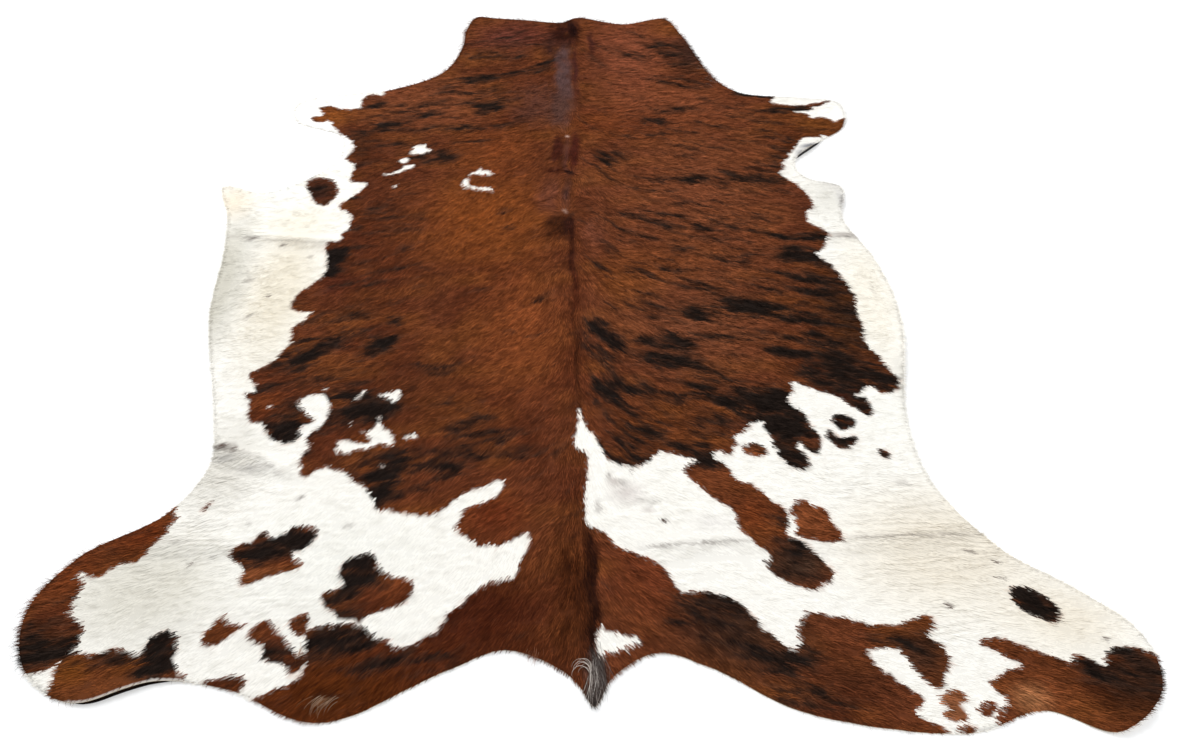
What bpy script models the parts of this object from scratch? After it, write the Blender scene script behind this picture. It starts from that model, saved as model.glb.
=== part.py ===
"""A hair-on cowhide rug: one whole hide lying flat, hair side up, seen as one thin uneven sheet.

Metres, +Z up. The neck points to +Y and the tail to -Y. The origin is on the floor, under the
middle of the hide. The leather and its lying hair are one sheet, which follows the hide's outline
and is lifted a few millimetres where it creases, swells or curls up at its edge.
"""

import bmesh
import bpy
import numpy as np
from mathutils import Vector
from mathutils.geometry import delaunay_2d_cdt

CM = 0.01
MM = 0.001

LEATHER_THICKNESS = 2.0 * MM
HAIR_THICKNESS = 3.0 * MM  # the short hair as it lies
PELT_THICKNESS = LEATHER_THICKNESS + HAIR_THICKNESS

EDGE_STEP = 22 * MM  # length of one straight piece of the outline
FACET = 42 * MM  # spacing of the sheet's own points
CREASE_STEP = 34 * MM  # spacing of points along a crease
CREASE_ROWS = (-1.0, -0.5, 0.0, 0.5, 1.0)  # rows of points across a crease, in half widths
CLEAR_OF_EDGE = 0.55  # a point of the sheet stays this share of a facet away from the outline
CLEAR_OF_CREASE = 0.6

COAT_BROWN = (0.15, 0.04, 0.014, 1.0)  # linear: a chestnut coat
COAT_ROUGHNESS = 0.6

# The outline, clockwise from the nape, in centimetres from the spine (x) and from the middle of
# the back (y). Each row is a landmark of the hide, and a smooth curve runs through them.
OUTLINE = (
    # landmark, x, y
    ("nape", 0.5, 108.6),
    ("neck edge, right", 15.0, 104.3),
    ("neck corner, right", 28.5, 107.2),
    ("neck side, right", 33.0, 98.0),
    ("neck root, right", 41.0, 73.0),
    ("shoulder, right", 47.5, 65.6),
    ("foreleg front, right", 64.0, 62.8),
    ("foreleg tip, right", 74.8, 60.0),
    ("foreleg toe, right", 74.0, 48.5),
    ("foreleg back, right", 66.0, 41.3),
    ("armpit, right", 57.9, 32.6),
    ("flap notch, right", 60.0, 26.3),
    ("flap tip, right", 68.1, 22.4),
    ("flap back, right", 66.3, 9.5),
    ("flank, right", 71.0, -5.0),
    ("belly, right", 72.8, -24.0),
    ("waist, right", 67.2, -54.0),
    ("stifle, right", 68.7, -70.0),
    ("thigh front, right", 77.5, -84.0),
    ("shin front, right", 89.8, -93.4),
    ("hock, right", 97.0, -101.6),
    ("leg end, right", 96.6, -110.5),
    ("heel, right", 86.2, -117.9),
    ("shin back, right", 75.5, -114.2),
    ("thigh back, right", 62.0, -117.5),
    ("ham, right", 36.0, -113.6),
    ("buttock, right", 21.0, -105.7),
    ("seat, right", 12.0, -102.9),
    ("tail root, right", 4.3, -107.0),
    ("tail stub", 0.8, -112.0),
    ("tail root, left", -3.0, -107.0),
    ("seat, left", -14.5, -101.8),
    ("buttock, left", -24.5, -105.2),
    ("ham, left", -45.0, -113.5),
    ("thigh back, left", -61.0, -107.4),
    ("shin back, left", -73.0, -105.8),
    ("heel, left", -86.6, -109.0),
    ("leg end, left", -96.9, -102.3),
    ("hock, left", -99.8, -92.0),
    ("shin front, left", -94.0, -81.5),
    ("thigh front, left", -80.5, -72.7),
    ("stifle, left", -74.8, -61.5),
    ("waist, left", -76.8, -50.0),
    ("belly, left", -84.8, -20.0),
    ("flank, left", -86.5, 2.0),
    ("flap back, left", -88.8, 15.0),
    ("flap tip, left", -91.8, 25.4),
    ("flap notch, left", -79.5, 24.0),
    ("armpit, left", -65.5, 35.0),
    ("foreleg back, left", -65.0, 47.0),
    ("foreleg toe, left", -78.5, 54.5),
    ("foreleg tip, left", -80.0, 62.5),
    ("foreleg front, left", -69.0, 67.5),
    ("shoulder, left", -55.5, 69.0),
    ("neck root, left", -40.0, 78.0),
    ("neck side, left", -34.9, 92.0),
    ("neck top, left", -34.3, 102.0),
    ("neck corner, left", -31.0, 108.4),
    ("neck edge, left", -17.0, 107.8),
    ("nape notch", -4.2, 105.8),
)

# Soft ridges that are left from the hide's folding, and the low rolls beside its backbone.
CREASES = (
    # name, x0, y0, x1, y1, bow, half width in cm, height in mm
    ("neck fold", -33.0, 89.0, -4.0, 90.0, 0.8, 3.6, 3.5),
    ("flank fold, left", -85.0, 7.5, -52.0, 4.0, -1.6, 3.8, 6.0),
    ("flank fold, right", 50.0, 1.0, 69.0, 2.5, 0.8, 3.6, 5.5),
    ("waist fold, left", -75.0, -57.5, -52.0, -63.0, -1.0, 3.8, 5.0),
    ("hip fold, left", -90.0, -80.5, -62.0, -80.0, 0.9, 3.4, 4.0),
    ("hip fold, right", 10.0, -83.0, 40.0, -81.5, 1.0, 3.4, 4.5),
    ("thigh fold, right", 38.0, -81.0, 73.0, -80.5, -0.8, 3.6, 5.5),
    ("back roll, left", -6.0, 62.0, -4.5, -98.0, 0.0, 4.6, 2.4),
    ("back roll, right", 5.5, 62.0, 5.0, -98.0, 0.0, 4.6, 2.8),
)

# Broad places where the hide does not lie quite down.
SWELLS = (
    # name, x, y, half length across, half length along, height in mm
    ("shoulder, left", -58.0, 57.0, 17.0, 11.0, 3.5),
    ("shoulder, right", 60.0, 52.0, 15.0, 10.0, 4.0),
    ("belly, left", -74.0, -24.0, 10.0, 24.0, 4.5),
    ("belly, right", 62.0, -22.0, 10.0, 22.0, 4.0),
    ("thigh, left", -72.0, -92.0, 19.0, 9.5, 4.5),
    ("thigh, right", 74.0, -101.0, 18.0, 10.0, 5.0),
    ("rump, right", 30.0, -99.0, 17.0, 9.0, 3.5),
)

# Stretches of the edge that curl up off the floor.
CURLS = (
    # name, x, y, half length along the edge, width of the curl, height in mm
    ("shin back, left", -78.0, -106.2, 13.0, 5.5, 8.0),
    ("armpit, right", 61.5, 37.5, 8.5, 5.0, 12.0),
    ("flap, right", 68.0, 16.0, 7.5, 4.5, 9.0),
    ("belly, right", 72.0, -37.0, 17.0, 4.5, 8.0),
    ("flap tip, left", -91.0, 24.0, 7.0, 5.0, 9.0),
    ("heel, right", 90.0, -116.0, 9.0, 5.0, 9.0),
    ("neck corner, left", -31.0, 108.0, 6.0, 4.5, 7.0),
    ("foreleg toe, right", 74.0, 54.0, 7.0, 4.5, 8.0),
)


def smooth_loop(landmarks, step):
    """Points about one step apart on a smooth closed curve through the landmarks."""
    corners = np.array(landmarks)
    points = []
    for here in range(len(corners)):
        before, start, end, after = (corners[(here + k) % len(corners)] for k in (-1, 0, 1, 2))
        spans = [max(np.linalg.norm(b - a), step) ** 0.5
                 for a, b in ((before, start), (start, end), (end, after))]
        leave = (start - before) / spans[0] - (end - before) / (spans[0] + spans[1])
        leave = (leave + (end - start) / spans[1]) * spans[1]
        arrive = (end - start) / spans[1] - (after - start) / (spans[1] + spans[2])
        arrive = (arrive + (after - end) / spans[2]) * spans[1]
        pieces = max(1, round(np.linalg.norm(end - start) / step))
        for t in np.arange(pieces) / pieces:
            points.append(
                (2 * t**3 - 3 * t**2 + 1) * start + (t**3 - 2 * t**2 + t) * leave
                + (3 * t**2 - 2 * t**3) * end + (t**3 - t**2) * arrive
            )
    return np.array(points)


def edge_distance(points, loop):
    """How far each point is from the closed loop."""
    start = loop[None]
    run = np.roll(loop, -1, axis=0)[None] - start
    offset = points[:, None] - start
    along = np.clip((offset * run).sum(-1) / (run * run).sum(-1), 0, 1)
    return np.linalg.norm(offset - along[..., None] * run, axis=-1).min(axis=1)


def is_inside(points, loop):
    """Whether each point lies inside the closed loop, by counting the edges to its right."""
    x, y = points[:, :1], points[:, 1:]
    x0, y0 = loop.T
    x1, y1 = np.roll(loop, -1, axis=0).T
    crosses = (y0 > y) != (y1 > y)
    rise = np.where(y1 == y0, 1.0, y1 - y0)
    return (crosses & (x < x0 + (y - y0) / rise * (x1 - x0))).sum(axis=1) % 2 == 1


def bump(t):
    """A soft hump: 1 at 0, and level with the floor from 1 outwards."""
    return np.clip(1 - t * t, 0, 1) ** 2


def crease_frame(points, crease):
    """Each point's place along a crease, from -1 to 1, and its distance across it."""
    name, x0, y0, x1, y1, bow, half_width, height = crease
    start = np.array((x0, y0)) * CM
    run = np.array((x1, y1)) * CM - start
    length = np.linalg.norm(run)
    run = run / length
    side = np.array((-run[1], run[0]))
    along = 2 * ((points - start) @ run) / length - 1
    across = (points - start) @ side - bow * CM * np.clip(1 - along**2, 0, 1)
    return along, across


def relief(points, loop):
    """Height of the hide's underside above the floor."""
    lift = np.zeros(len(points))
    for crease in CREASES:
        half_width, height = crease[6:]
        along, across = crease_frame(points, crease)
        lift = np.maximum(lift, height * MM * bump(across / (half_width * CM)) * bump(along**3))
    for name, x, y, reach_x, reach_y, height in SWELLS:
        away = np.hypot((points[:, 0] - x * CM) / (reach_x * CM), (points[:, 1] - y * CM) / (reach_y * CM))
        lift = np.maximum(lift, height * MM * bump(away))
    inward = edge_distance(points, loop)
    for name, x, y, reach, width, height in CURLS:
        away = np.linalg.norm(points - np.array((x, y)) * CM, axis=1) / (reach * CM)
        lift += height * MM * bump(away) * np.clip(1 - inward / (width * CM), 0, 1) ** 2
    return lift


def crease_points():
    """Rows of points that let the sheet bend cleanly along each crease."""
    points = []
    for crease in CREASES:
        name, x0, y0, x1, y1, bow, half_width, height = crease
        start = np.array((x0, y0)) * CM
        run = np.array((x1, y1)) * CM - start
        length = np.linalg.norm(run)
        side = np.array((-run[1], run[0])) / length
        pieces = round(length / CREASE_STEP)
        for k in range(pieces + 1):
            bend = bow * CM * (1 - (2 * k / pieces - 1) ** 2)
            for row in CREASE_ROWS:
                points.append(start + run * k / pieces + side * (bend + row * half_width * CM))
    return np.array(points)


def sheet_points(loop):
    """The points inside the outline that carry the sheet's creases, and an even lattice between them."""
    creased = crease_points()
    low, high = loop.min(axis=0), loop.max(axis=0)
    row_height = FACET * 3**0.5 / 2
    lattice = np.array([
        (low[0] + (column + row % 2 / 2) * FACET, low[1] + row * row_height)
        for row in range(round((high[1] - low[1]) / row_height))
        for column in range(round((high[0] - low[0]) / FACET))
    ])
    kept = creased[:0]
    for group, clear in ((creased, 0.3 * CREASE_STEP), (lattice, CLEAR_OF_CREASE * CREASE_STEP)):
        group = group[is_inside(group, loop)]
        group = group[edge_distance(group, loop) > CLEAR_OF_EDGE * CREASE_STEP]
        for point in group:
            if len(kept) == 0 or np.linalg.norm(kept - point, axis=1).min() > clear:
                kept = np.vstack((kept, point))
    return kept


def pelt_mesh(name):
    """The hide's underside as one surface, triangulated between its outline and its own points."""
    loop = smooth_loop([(x * CM, y * CM) for landmark, x, y in OUTLINE], EDGE_STEP)
    inner = sheet_points(loop)
    corners = [Vector(point) for point in np.vstack((loop, inner))]
    rim = list(range(len(loop)))[::-1]
    flat, edges, faces = delaunay_2d_cdt(corners, [], [rim], 1, 1e-6)[:3]
    points = np.array([tuple(point) for point in flat])
    lift = relief(points, loop)
    middle = (loop.min(axis=0) + loop.max(axis=0)) / 2

    surface = bmesh.new()
    verts = [surface.verts.new((x - middle[0], y - middle[1], z))
             for (x, y), z in zip(points, lift)]
    for face in faces:
        surface.faces.new([verts[k] for k in face])
    bmesh.ops.recalc_face_normals(surface, faces=surface.faces)
    if sum(face.normal.z for face in surface.faces) < 0:
        bmesh.ops.reverse_faces(surface, faces=surface.faces)
    mesh = bpy.data.meshes.new(name)
    surface.to_mesh(mesh)
    surface.free()
    return mesh


def coat_material():
    material = bpy.data.materials.new("chestnut_coat")
    material.use_nodes = True
    shader = material.node_tree.nodes["Principled BSDF"]
    shader.inputs["Base Color"].default_value = COAT_BROWN
    shader.inputs["Roughness"].default_value = COAT_ROUGHNESS
    shader.inputs["Metallic"].default_value = 0.0
    return material


for old in list(bpy.data.objects):
    bpy.data.objects.remove(old)
rug = bpy.data.collections.new("cowhide_rug")
bpy.context.scene.collection.children.link(rug)

# The one piece: the whole hide, with its hair on. The underside is the surface that is drawn,
# and the leather and hair stand on it.
hide = bpy.data.objects.new("hide", pelt_mesh("hide"))
rug.objects.link(hide)
hide.data.materials.append(coat_material())
pelt = hide.modifiers.new("pelt", "SOLIDIFY")
pelt.thickness = PELT_THICKNESS
pelt.offset = 1.0
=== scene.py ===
"""The looks of a hair-on cowhide rug: its leather, its brindle and white coat, and its short hair."""

import math

import bpy
import numpy as np
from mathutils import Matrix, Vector
from mathutils.geometry import delaunay_2d_cdt
from mathutils.kdtree import KDTree


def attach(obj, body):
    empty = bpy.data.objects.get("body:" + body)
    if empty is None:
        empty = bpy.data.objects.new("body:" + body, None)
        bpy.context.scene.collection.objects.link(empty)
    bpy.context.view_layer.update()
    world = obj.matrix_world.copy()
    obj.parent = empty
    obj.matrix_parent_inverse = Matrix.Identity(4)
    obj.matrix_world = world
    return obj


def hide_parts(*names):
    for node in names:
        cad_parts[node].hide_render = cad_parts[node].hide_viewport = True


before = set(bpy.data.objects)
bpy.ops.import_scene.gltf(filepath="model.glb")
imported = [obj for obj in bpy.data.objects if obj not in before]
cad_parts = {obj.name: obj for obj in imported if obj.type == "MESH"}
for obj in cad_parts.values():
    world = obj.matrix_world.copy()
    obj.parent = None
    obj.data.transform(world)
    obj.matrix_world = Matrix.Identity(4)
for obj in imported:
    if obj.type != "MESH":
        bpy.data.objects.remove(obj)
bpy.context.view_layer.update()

# ---------------------------------------------------------------------------------------------
# The leather. One whole tanned hide, about 2 mm thick, cut along its own natural outline. It lies
# on the floor by its weight alone, still a little raised where it was folded and curled at edges.
# ---------------------------------------------------------------------------------------------
CM = 0.01
MM = 0.001
LEATHER_THICKNESS = 2.0 * MM
HAIR_OVERHANG = 6 * MM  # how far the outer hair reaches past the leather's cut edge
SKIN_STEP = 10 * MM  # spacing of the hair side's points
BACK_STEP = 24 * MM  # spacing of the flesh side's points

BARE_WIDTH = 5 * MM  # how much of the pale cut edge shows past the hair at the left heel
BARE_EDGE = (-78.0, -106.6)  # the middle of that stretch, in cm
BARE_EDGE_REACH = 9.5  # how far it runs either way, in cm

# The outline, clockwise from the nape, in centimetres from the spine and from the back's middle.
OUTLINE = (
    (0.5, 108.6), (15.0, 104.3), (28.5, 107.2), (33.0, 98.0), (41.0, 73.0), (47.5, 65.6),
    (64.0, 62.8), (74.8, 60.0), (74.0, 48.5), (66.0, 41.3), (57.9, 32.6), (60.0, 26.3),
    (68.1, 22.4), (66.3, 9.5), (71.0, -5.0), (72.8, -24.0), (67.2, -54.0), (68.7, -70.0),
    (77.5, -84.0), (89.8, -93.4), (97.0, -101.6), (96.6, -110.5), (86.2, -117.9),
    (75.5, -114.2), (62.0, -117.5), (36.0, -113.6), (21.0, -105.7), (12.0, -102.9),
    (4.3, -107.0), (0.8, -112.0), (-3.0, -107.0), (-14.5, -101.8), (-24.5, -105.2),
    (-45.0, -113.5), (-61.0, -107.4), (-73.0, -105.8), (-86.6, -109.0), (-96.9, -102.3),
    (-99.8, -92.0), (-94.0, -81.5), (-80.5, -72.7), (-74.8, -61.5), (-76.8, -50.0),
    (-84.8, -20.0), (-86.5, 2.0), (-88.8, 15.0), (-91.8, 25.4), (-79.5, 24.0), (-65.5, 35.0),
    (-65.0, 47.0), (-78.5, 54.5), (-80.0, 62.5), (-69.0, 67.5), (-55.5, 69.0), (-40.0, 78.0),
    (-34.9, 92.0), (-34.3, 102.0), (-31.0, 108.4), (-17.0, 107.8), (-4.2, 105.8),
)
# Ridges left from folding: from x, y to x, y in cm, bow in cm, half width in cm, height in mm.
CREASES = (
    (-33.0, 89.0, -4.0, 90.0, 0.8, 3.6, 3.5),
    (-85.0, 7.5, -52.0, 4.0, -1.6, 3.8, 6.0),
    (50.0, 1.0, 69.0, 2.5, 0.8, 3.6, 5.5),
    (-75.0, -57.5, -52.0, -63.0, -1.0, 3.8, 5.0),
    (-90.0, -80.5, -62.0, -80.0, 0.9, 3.4, 4.0),
    (10.0, -83.0, 40.0, -81.5, 1.0, 3.4, 4.5),
    (38.0, -81.0, 73.0, -80.5, -0.8, 3.6, 5.5),
    (-6.0, 62.0, -4.5, -98.0, 0.0, 4.6, 2.4),
    (5.5, 62.0, 5.0, -98.0, 0.0, 4.6, 2.8),
)
CREASE_UNEVEN = 0.25  # how much a ridge's height varies along it
CREASE_PATCH = 5 * CM
# Broad low swells: x, y, half length across and along in cm, height in mm.
SWELLS = (
    (-58.0, 57.0, 17.0, 11.0, 3.5),
    (60.0, 52.0, 15.0, 10.0, 4.0),
    (-74.0, -24.0, 10.0, 24.0, 4.5),
    (62.0, -22.0, 10.0, 22.0, 4.0),
    (-72.0, -92.0, 19.0, 9.5, 4.5),
    (74.0, -101.0, 18.0, 10.0, 5.0),
    (30.0, -99.0, 17.0, 9.0, 3.5),
)
# Curled edges: x, y, half length along the edge and width of the curl in cm, height in mm.
CURLS = (
    (-78.0, -106.2, 13.0, 5.5, 8.0),
    (61.5, 37.5, 8.5, 5.0, 12.0),
    (68.0, 16.0, 7.5, 4.5, 9.0),
    (72.0, -37.0, 17.0, 4.5, 8.0),
    (-91.0, 24.0, 7.0, 5.0, 9.0),
    (90.0, -116.0, 9.0, 5.0, 9.0),
    (-31.0, 108.0, 6.0, 4.5, 7.0),
    (74.0, 54.0, 7.0, 4.5, 8.0),
)


def smooth_loop(landmarks, step):
    """Points about one step apart on a smooth closed curve through the landmarks."""
    corners = np.array(landmarks, float)
    points = []
    for here in range(len(corners)):
        before, start, end, after = (corners[(here + k) % len(corners)] for k in (-1, 0, 1, 2))
        spans = [max(np.linalg.norm(b - a), step) ** 0.5
                 for a, b in ((before, start), (start, end), (end, after))]
        leave = (start - before) / spans[0] - (end - before) / (spans[0] + spans[1])
        leave = (leave + (end - start) / spans[1]) * spans[1]
        arrive = (end - start) / spans[1] - (after - start) / (spans[1] + spans[2])
        arrive = (arrive + (after - end) / spans[2]) * spans[1]
        pieces = max(1, round(np.linalg.norm(end - start) / step))
        for t in np.arange(pieces) / pieces:
            points.append(
                (2 * t**3 - 3 * t**2 + 1) * start + (t**3 - 2 * t**2 + t) * leave
                + (3 * t**2 - 2 * t**3) * end + (t**3 - t**2) * arrive
            )
    return np.array(points)


def depth_inside(points, loop, reach):
    """Distance in from a closed loop, negative outside it, and never past the reach."""
    depth = np.full(len(points), -reach, float)
    low, high = loop.min(axis=0) - reach, loop.max(axis=0) + reach
    near = np.flatnonzero(((points > low) & (points < high)).all(axis=1))
    if len(near) == 0:
        return depth
    tree = KDTree(len(loop))
    for number, (x, y) in enumerate(loop):
        tree.insert((x, y, 0), number)
    tree.balance()
    nearest = np.array([tree.find((x, y, 0))[1] for x, y in points[near]])
    corners = [loop[(nearest + k) % len(loop)] for k in (-1, 0, 1)]
    gaps, sides = [], []
    for start, end in zip(corners, corners[1:]):
        run, offset = end - start, points[near] - start
        along = np.clip((offset * run).sum(1) / (run * run).sum(1), 0, 1)
        gaps.append(np.linalg.norm(offset - along[:, None] * run, axis=1))
        sides.append((run[:, 0] * offset[:, 1] - run[:, 1] * offset[:, 0]) / np.linalg.norm(run, axis=1))
    side = np.where(gaps[0] < gaps[1], *sides)
    side = np.where(np.isclose(*gaps), sides[0] + sides[1], side)
    x, y = loop.T
    winding = np.sign((x * np.roll(y, -1) - y * np.roll(x, -1)).sum())
    depth[near] = np.clip(np.minimum(*gaps) * np.sign(side) * winding, -reach, reach)
    return depth


def bump(t):
    """A soft hump: 1 at 0, and nothing from 1 outwards."""
    return np.clip(1 - t * t, 0, 1) ** 2


NOISE_CELLS = 61  # after how many patches the noise repeats
NOISE_SHIFT = 7.3  # how many patches further on each seed's noise starts


def drift(points, size, seed):
    """Smooth noise from -1 to 1, with patches about as wide as the size, in the points' units."""
    size = np.broadcast_to(np.array(size, float), (2,))
    table = np.random.default_rng(seed).uniform(-1, 1, (NOISE_CELLS, NOISE_CELLS))
    place = points / size + seed * NOISE_SHIFT
    cell = np.floor(place).astype(int)
    t = place - cell
    t = t * t * (3 - 2 * t)
    (x0, y0), (x1, y1) = (cell % NOISE_CELLS).T, ((cell + 1) % NOISE_CELLS).T
    low = table[x0, y0] * (1 - t[:, 0]) + table[x1, y0] * t[:, 0]
    high = table[x0, y1] * (1 - t[:, 0]) + table[x1, y1] * t[:, 0]
    return low * (1 - t[:, 1]) + high * t[:, 1]


def layered(points, layers):
    """Smooth noise in layers, each with a strength, a patch size and a seed."""
    return sum(strength * drift(points, size, seed) for strength, size, seed in layers)


outline = smooth_loop(OUTLINE, SKIN_STEP / CM) * CM
middle = (outline.min(axis=0) + outline.max(axis=0)) / 2

# How the hair turns from straight back (0) to straight out from the spine (90), by distance
# from the spine in cm, on the left, on the right, and on each side of the neck.
TURNS_AT = (0, 1.2, 4, 10, 25, 50, 75, 100)
TURN_LEFT = (0, 5, 26, 36, 42, 46, 58, 74)
TURN_RIGHT = (0, 7, 34, 52, 62, 64, 68, 78)
TURN_NECK_LEFT = (0, 12, 50, 66, 74, 80, 84, 86)
TURN_NECK_RIGHT = (0, 16, 60, 80, 86, 86, 86, 86)
PARTING = -1.5  # x of the line that the hair parts along, in cm
NECK_FROM, NECK_BLEND = 20, 35  # the y where the neck's turns begin to tell, and over how many cm
RUMP_FROM, RUMP_BLEND, RUMP_WIDTH = -78, 25, 55  # the same for the rump, in cm
RUMP_STRAIGHTER = 0.35  # how much of its turn the hair loses there
HEADING_NOISE = ((12, 9, 31), (8, 3.5, 32), (5, 1.6, 33))  # in degrees, with the patches in cm
# Whorls on the spine, which the hair grows out from: x, y, reach in cm.
WHORLS = (
    (-2.9, 45.9, 8.0),
    (-1.6, 30.1, 4.0),
    (-3.4, 14.3, 9.0),
)


def hair_heading(points):
    """The way the hair lies at points of the plan in cm, as unit vectors."""
    x = points[:, 0] - PARTING
    side = np.abs(x)
    turn = np.where(x < 0, np.interp(side, TURNS_AT, TURN_LEFT), np.interp(side, TURNS_AT, TURN_RIGHT))
    neck = np.where(x < 0, np.interp(side, TURNS_AT, TURN_NECK_LEFT),
                    np.interp(side, TURNS_AT, TURN_NECK_RIGHT))
    turn = turn + (neck - turn) * np.clip((points[:, 1] - NECK_FROM) / NECK_BLEND, 0, 1)
    rump = np.clip((RUMP_FROM - points[:, 1]) / RUMP_BLEND, 0, 1) * np.clip(1 - side / RUMP_WIDTH, 0, 1)
    turn = turn * (1 - RUMP_STRAIGHTER * rump)
    turn = np.radians(turn + layered(points, HEADING_NOISE))
    heading = np.column_stack((np.sign(x + 1e-9) * np.sin(turn), -np.cos(turn)))
    for x, y, reach in WHORLS:
        away = points - np.array((x, y))
        distance = np.linalg.norm(away, axis=1) + 1e-6
        grip = np.clip(1.6 - 1.6 * distance / reach, 0, 1)[:, None]
        heading = heading * (1 - grip) + away / distance[:, None] * grip
    return heading / (np.linalg.norm(heading, axis=1) + 1e-9)[:, None]


def fold_frame(points, x0, y0, x1, y1, bow):
    """Each point's place along a bowed fold, from -1 to 1, and its distance across it."""
    start = np.array((x0, y0))
    run = np.array((x1, y1)) - start
    length = np.linalg.norm(run)
    run = run / length
    along = 2 * ((points - start) @ run) / length - 1
    across = (points - start) @ np.array((-run[1], run[0]))
    return along, across - bow * np.clip(1 - along**2, 0, 1)


def relief(points):
    """Height of the leather's underside above the floor at each point, in metres."""
    lift = np.zeros(len(points))
    uneven = 1 + CREASE_UNEVEN * drift(points, CREASE_PATCH, 3)
    for x0, y0, x1, y1, bow, half_width, height in CREASES:
        along, across = fold_frame(points / CM, x0, y0, x1, y1, bow)
        lift = np.maximum(lift, height * MM * uneven * bump(across / half_width) * bump(along**3))
    for x, y, reach_x, reach_y, height in SWELLS:
        offset = points - np.array((x, y)) * CM
        away = np.hypot(offset[:, 0] / (reach_x * CM), offset[:, 1] / (reach_y * CM))
        lift = np.maximum(lift, height * MM * bump(away))
    for x, y, reach, width, height in CURLS:
        away = np.linalg.norm(points - np.array((x, y)) * CM, axis=1) / (reach * CM)
        close = away < 1
        inward = depth_inside(points[close], outline, width * CM)
        lift[close] += height * MM * bump(away[close]) * np.clip(1 - inward / (width * CM), 0, 1) ** 2
    return lift


def lattice_inside(loop, step, clear):
    """Staggered points one step apart, clear of the loop."""
    low, high = loop.min(axis=0), loop.max(axis=0)
    row_height = step * 3**0.5 / 2
    rows, columns = (int(n) for n in np.ceil((high - low)[::-1] / (row_height, step)))
    row, column = np.mgrid[:rows, :columns]
    points = np.stack((low[0] + (column + row % 2 / 2) * step, low[1] + row * row_height), -1)
    points = points.reshape(-1, 2)
    return points[depth_inside(points, loop, 2 * step) > clear]


def triangulated(loop, inner):
    """The flat surface inside the loop, through its own points; the loop's points come first."""
    corners = [Vector(point) for point in np.vstack((loop, inner))]
    points, _, faces = delaunay_2d_cdt(corners, [], [list(range(len(loop)))[::-1]], 1, 1e-7)[:3]
    points = np.array([tuple(point) for point in points])
    faces = np.array(faces)
    a, b, c = (points[faces[:, k]] for k in range(3))
    turned = np.cross(b - a, c - a) < 0
    faces[turned] = faces[turned][:, ::-1]
    return points, faces


def outward(loop):
    """The way out of a clockwise loop at each of its points."""
    along = np.roll(loop, -2, axis=0) - np.roll(loop, 2, axis=0)
    return np.stack((-along[:, 1], along[:, 0]), 1) / np.linalg.norm(along, axis=1)[:, None]


# The outline is where the hair ends, so the leather is cut inside it by as far as its hair reaches
# past the edge, which is less where the hair lies along the edge than where it lies across it.
rim_out = outward(outline)
hair_past = np.clip((rim_out * hair_heading(outline / CM)).sum(axis=1), 0.1, 1) * HAIR_OVERHANG
cut_edge = outline - rim_out * hair_past[:, None]
inner = lattice_inside(cut_edge, SKIN_STEP, 0.5 * SKIN_STEP)
bare = np.linalg.norm(cut_edge / CM - np.array(BARE_EDGE), axis=1) < BARE_EDGE_REACH
bare_inside = (cut_edge - rim_out * BARE_WIDTH)[bare]
top, top_faces = triangulated(cut_edge, np.vstack((bare_inside, inner)))
back, back_faces = triangulated(cut_edge, lattice_inside(cut_edge, BACK_STEP, 0.4 * BACK_STEP))


def placed(points, height):
    """Points of the plan at a height, in the model's frame."""
    return np.column_stack((points - middle, height))


# The hair side, the flesh side, and between them the wall of the cut edge, which both share.
edge = np.arange(len(cut_edge))
after = np.roll(edge, -1)
wall = np.vstack((
    np.column_stack((edge, after, edge + len(top))),
    np.column_stack((after, after + len(top), edge + len(top))),
))
leather_points = np.vstack((placed(top, relief(top) + LEATHER_THICKNESS), placed(back, relief(back))))
leather_faces = np.vstack((top_faces, back_faces[:, ::-1] + len(top), wall))
leather = bpy.data.objects.new("leather", bpy.data.meshes.new("leather"))
bpy.context.scene.collection.objects.link(leather)
leather.data.from_pydata(leather_points, [], leather_faces)
leather.data.validate()
leather.data.shade_smooth()

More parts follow.
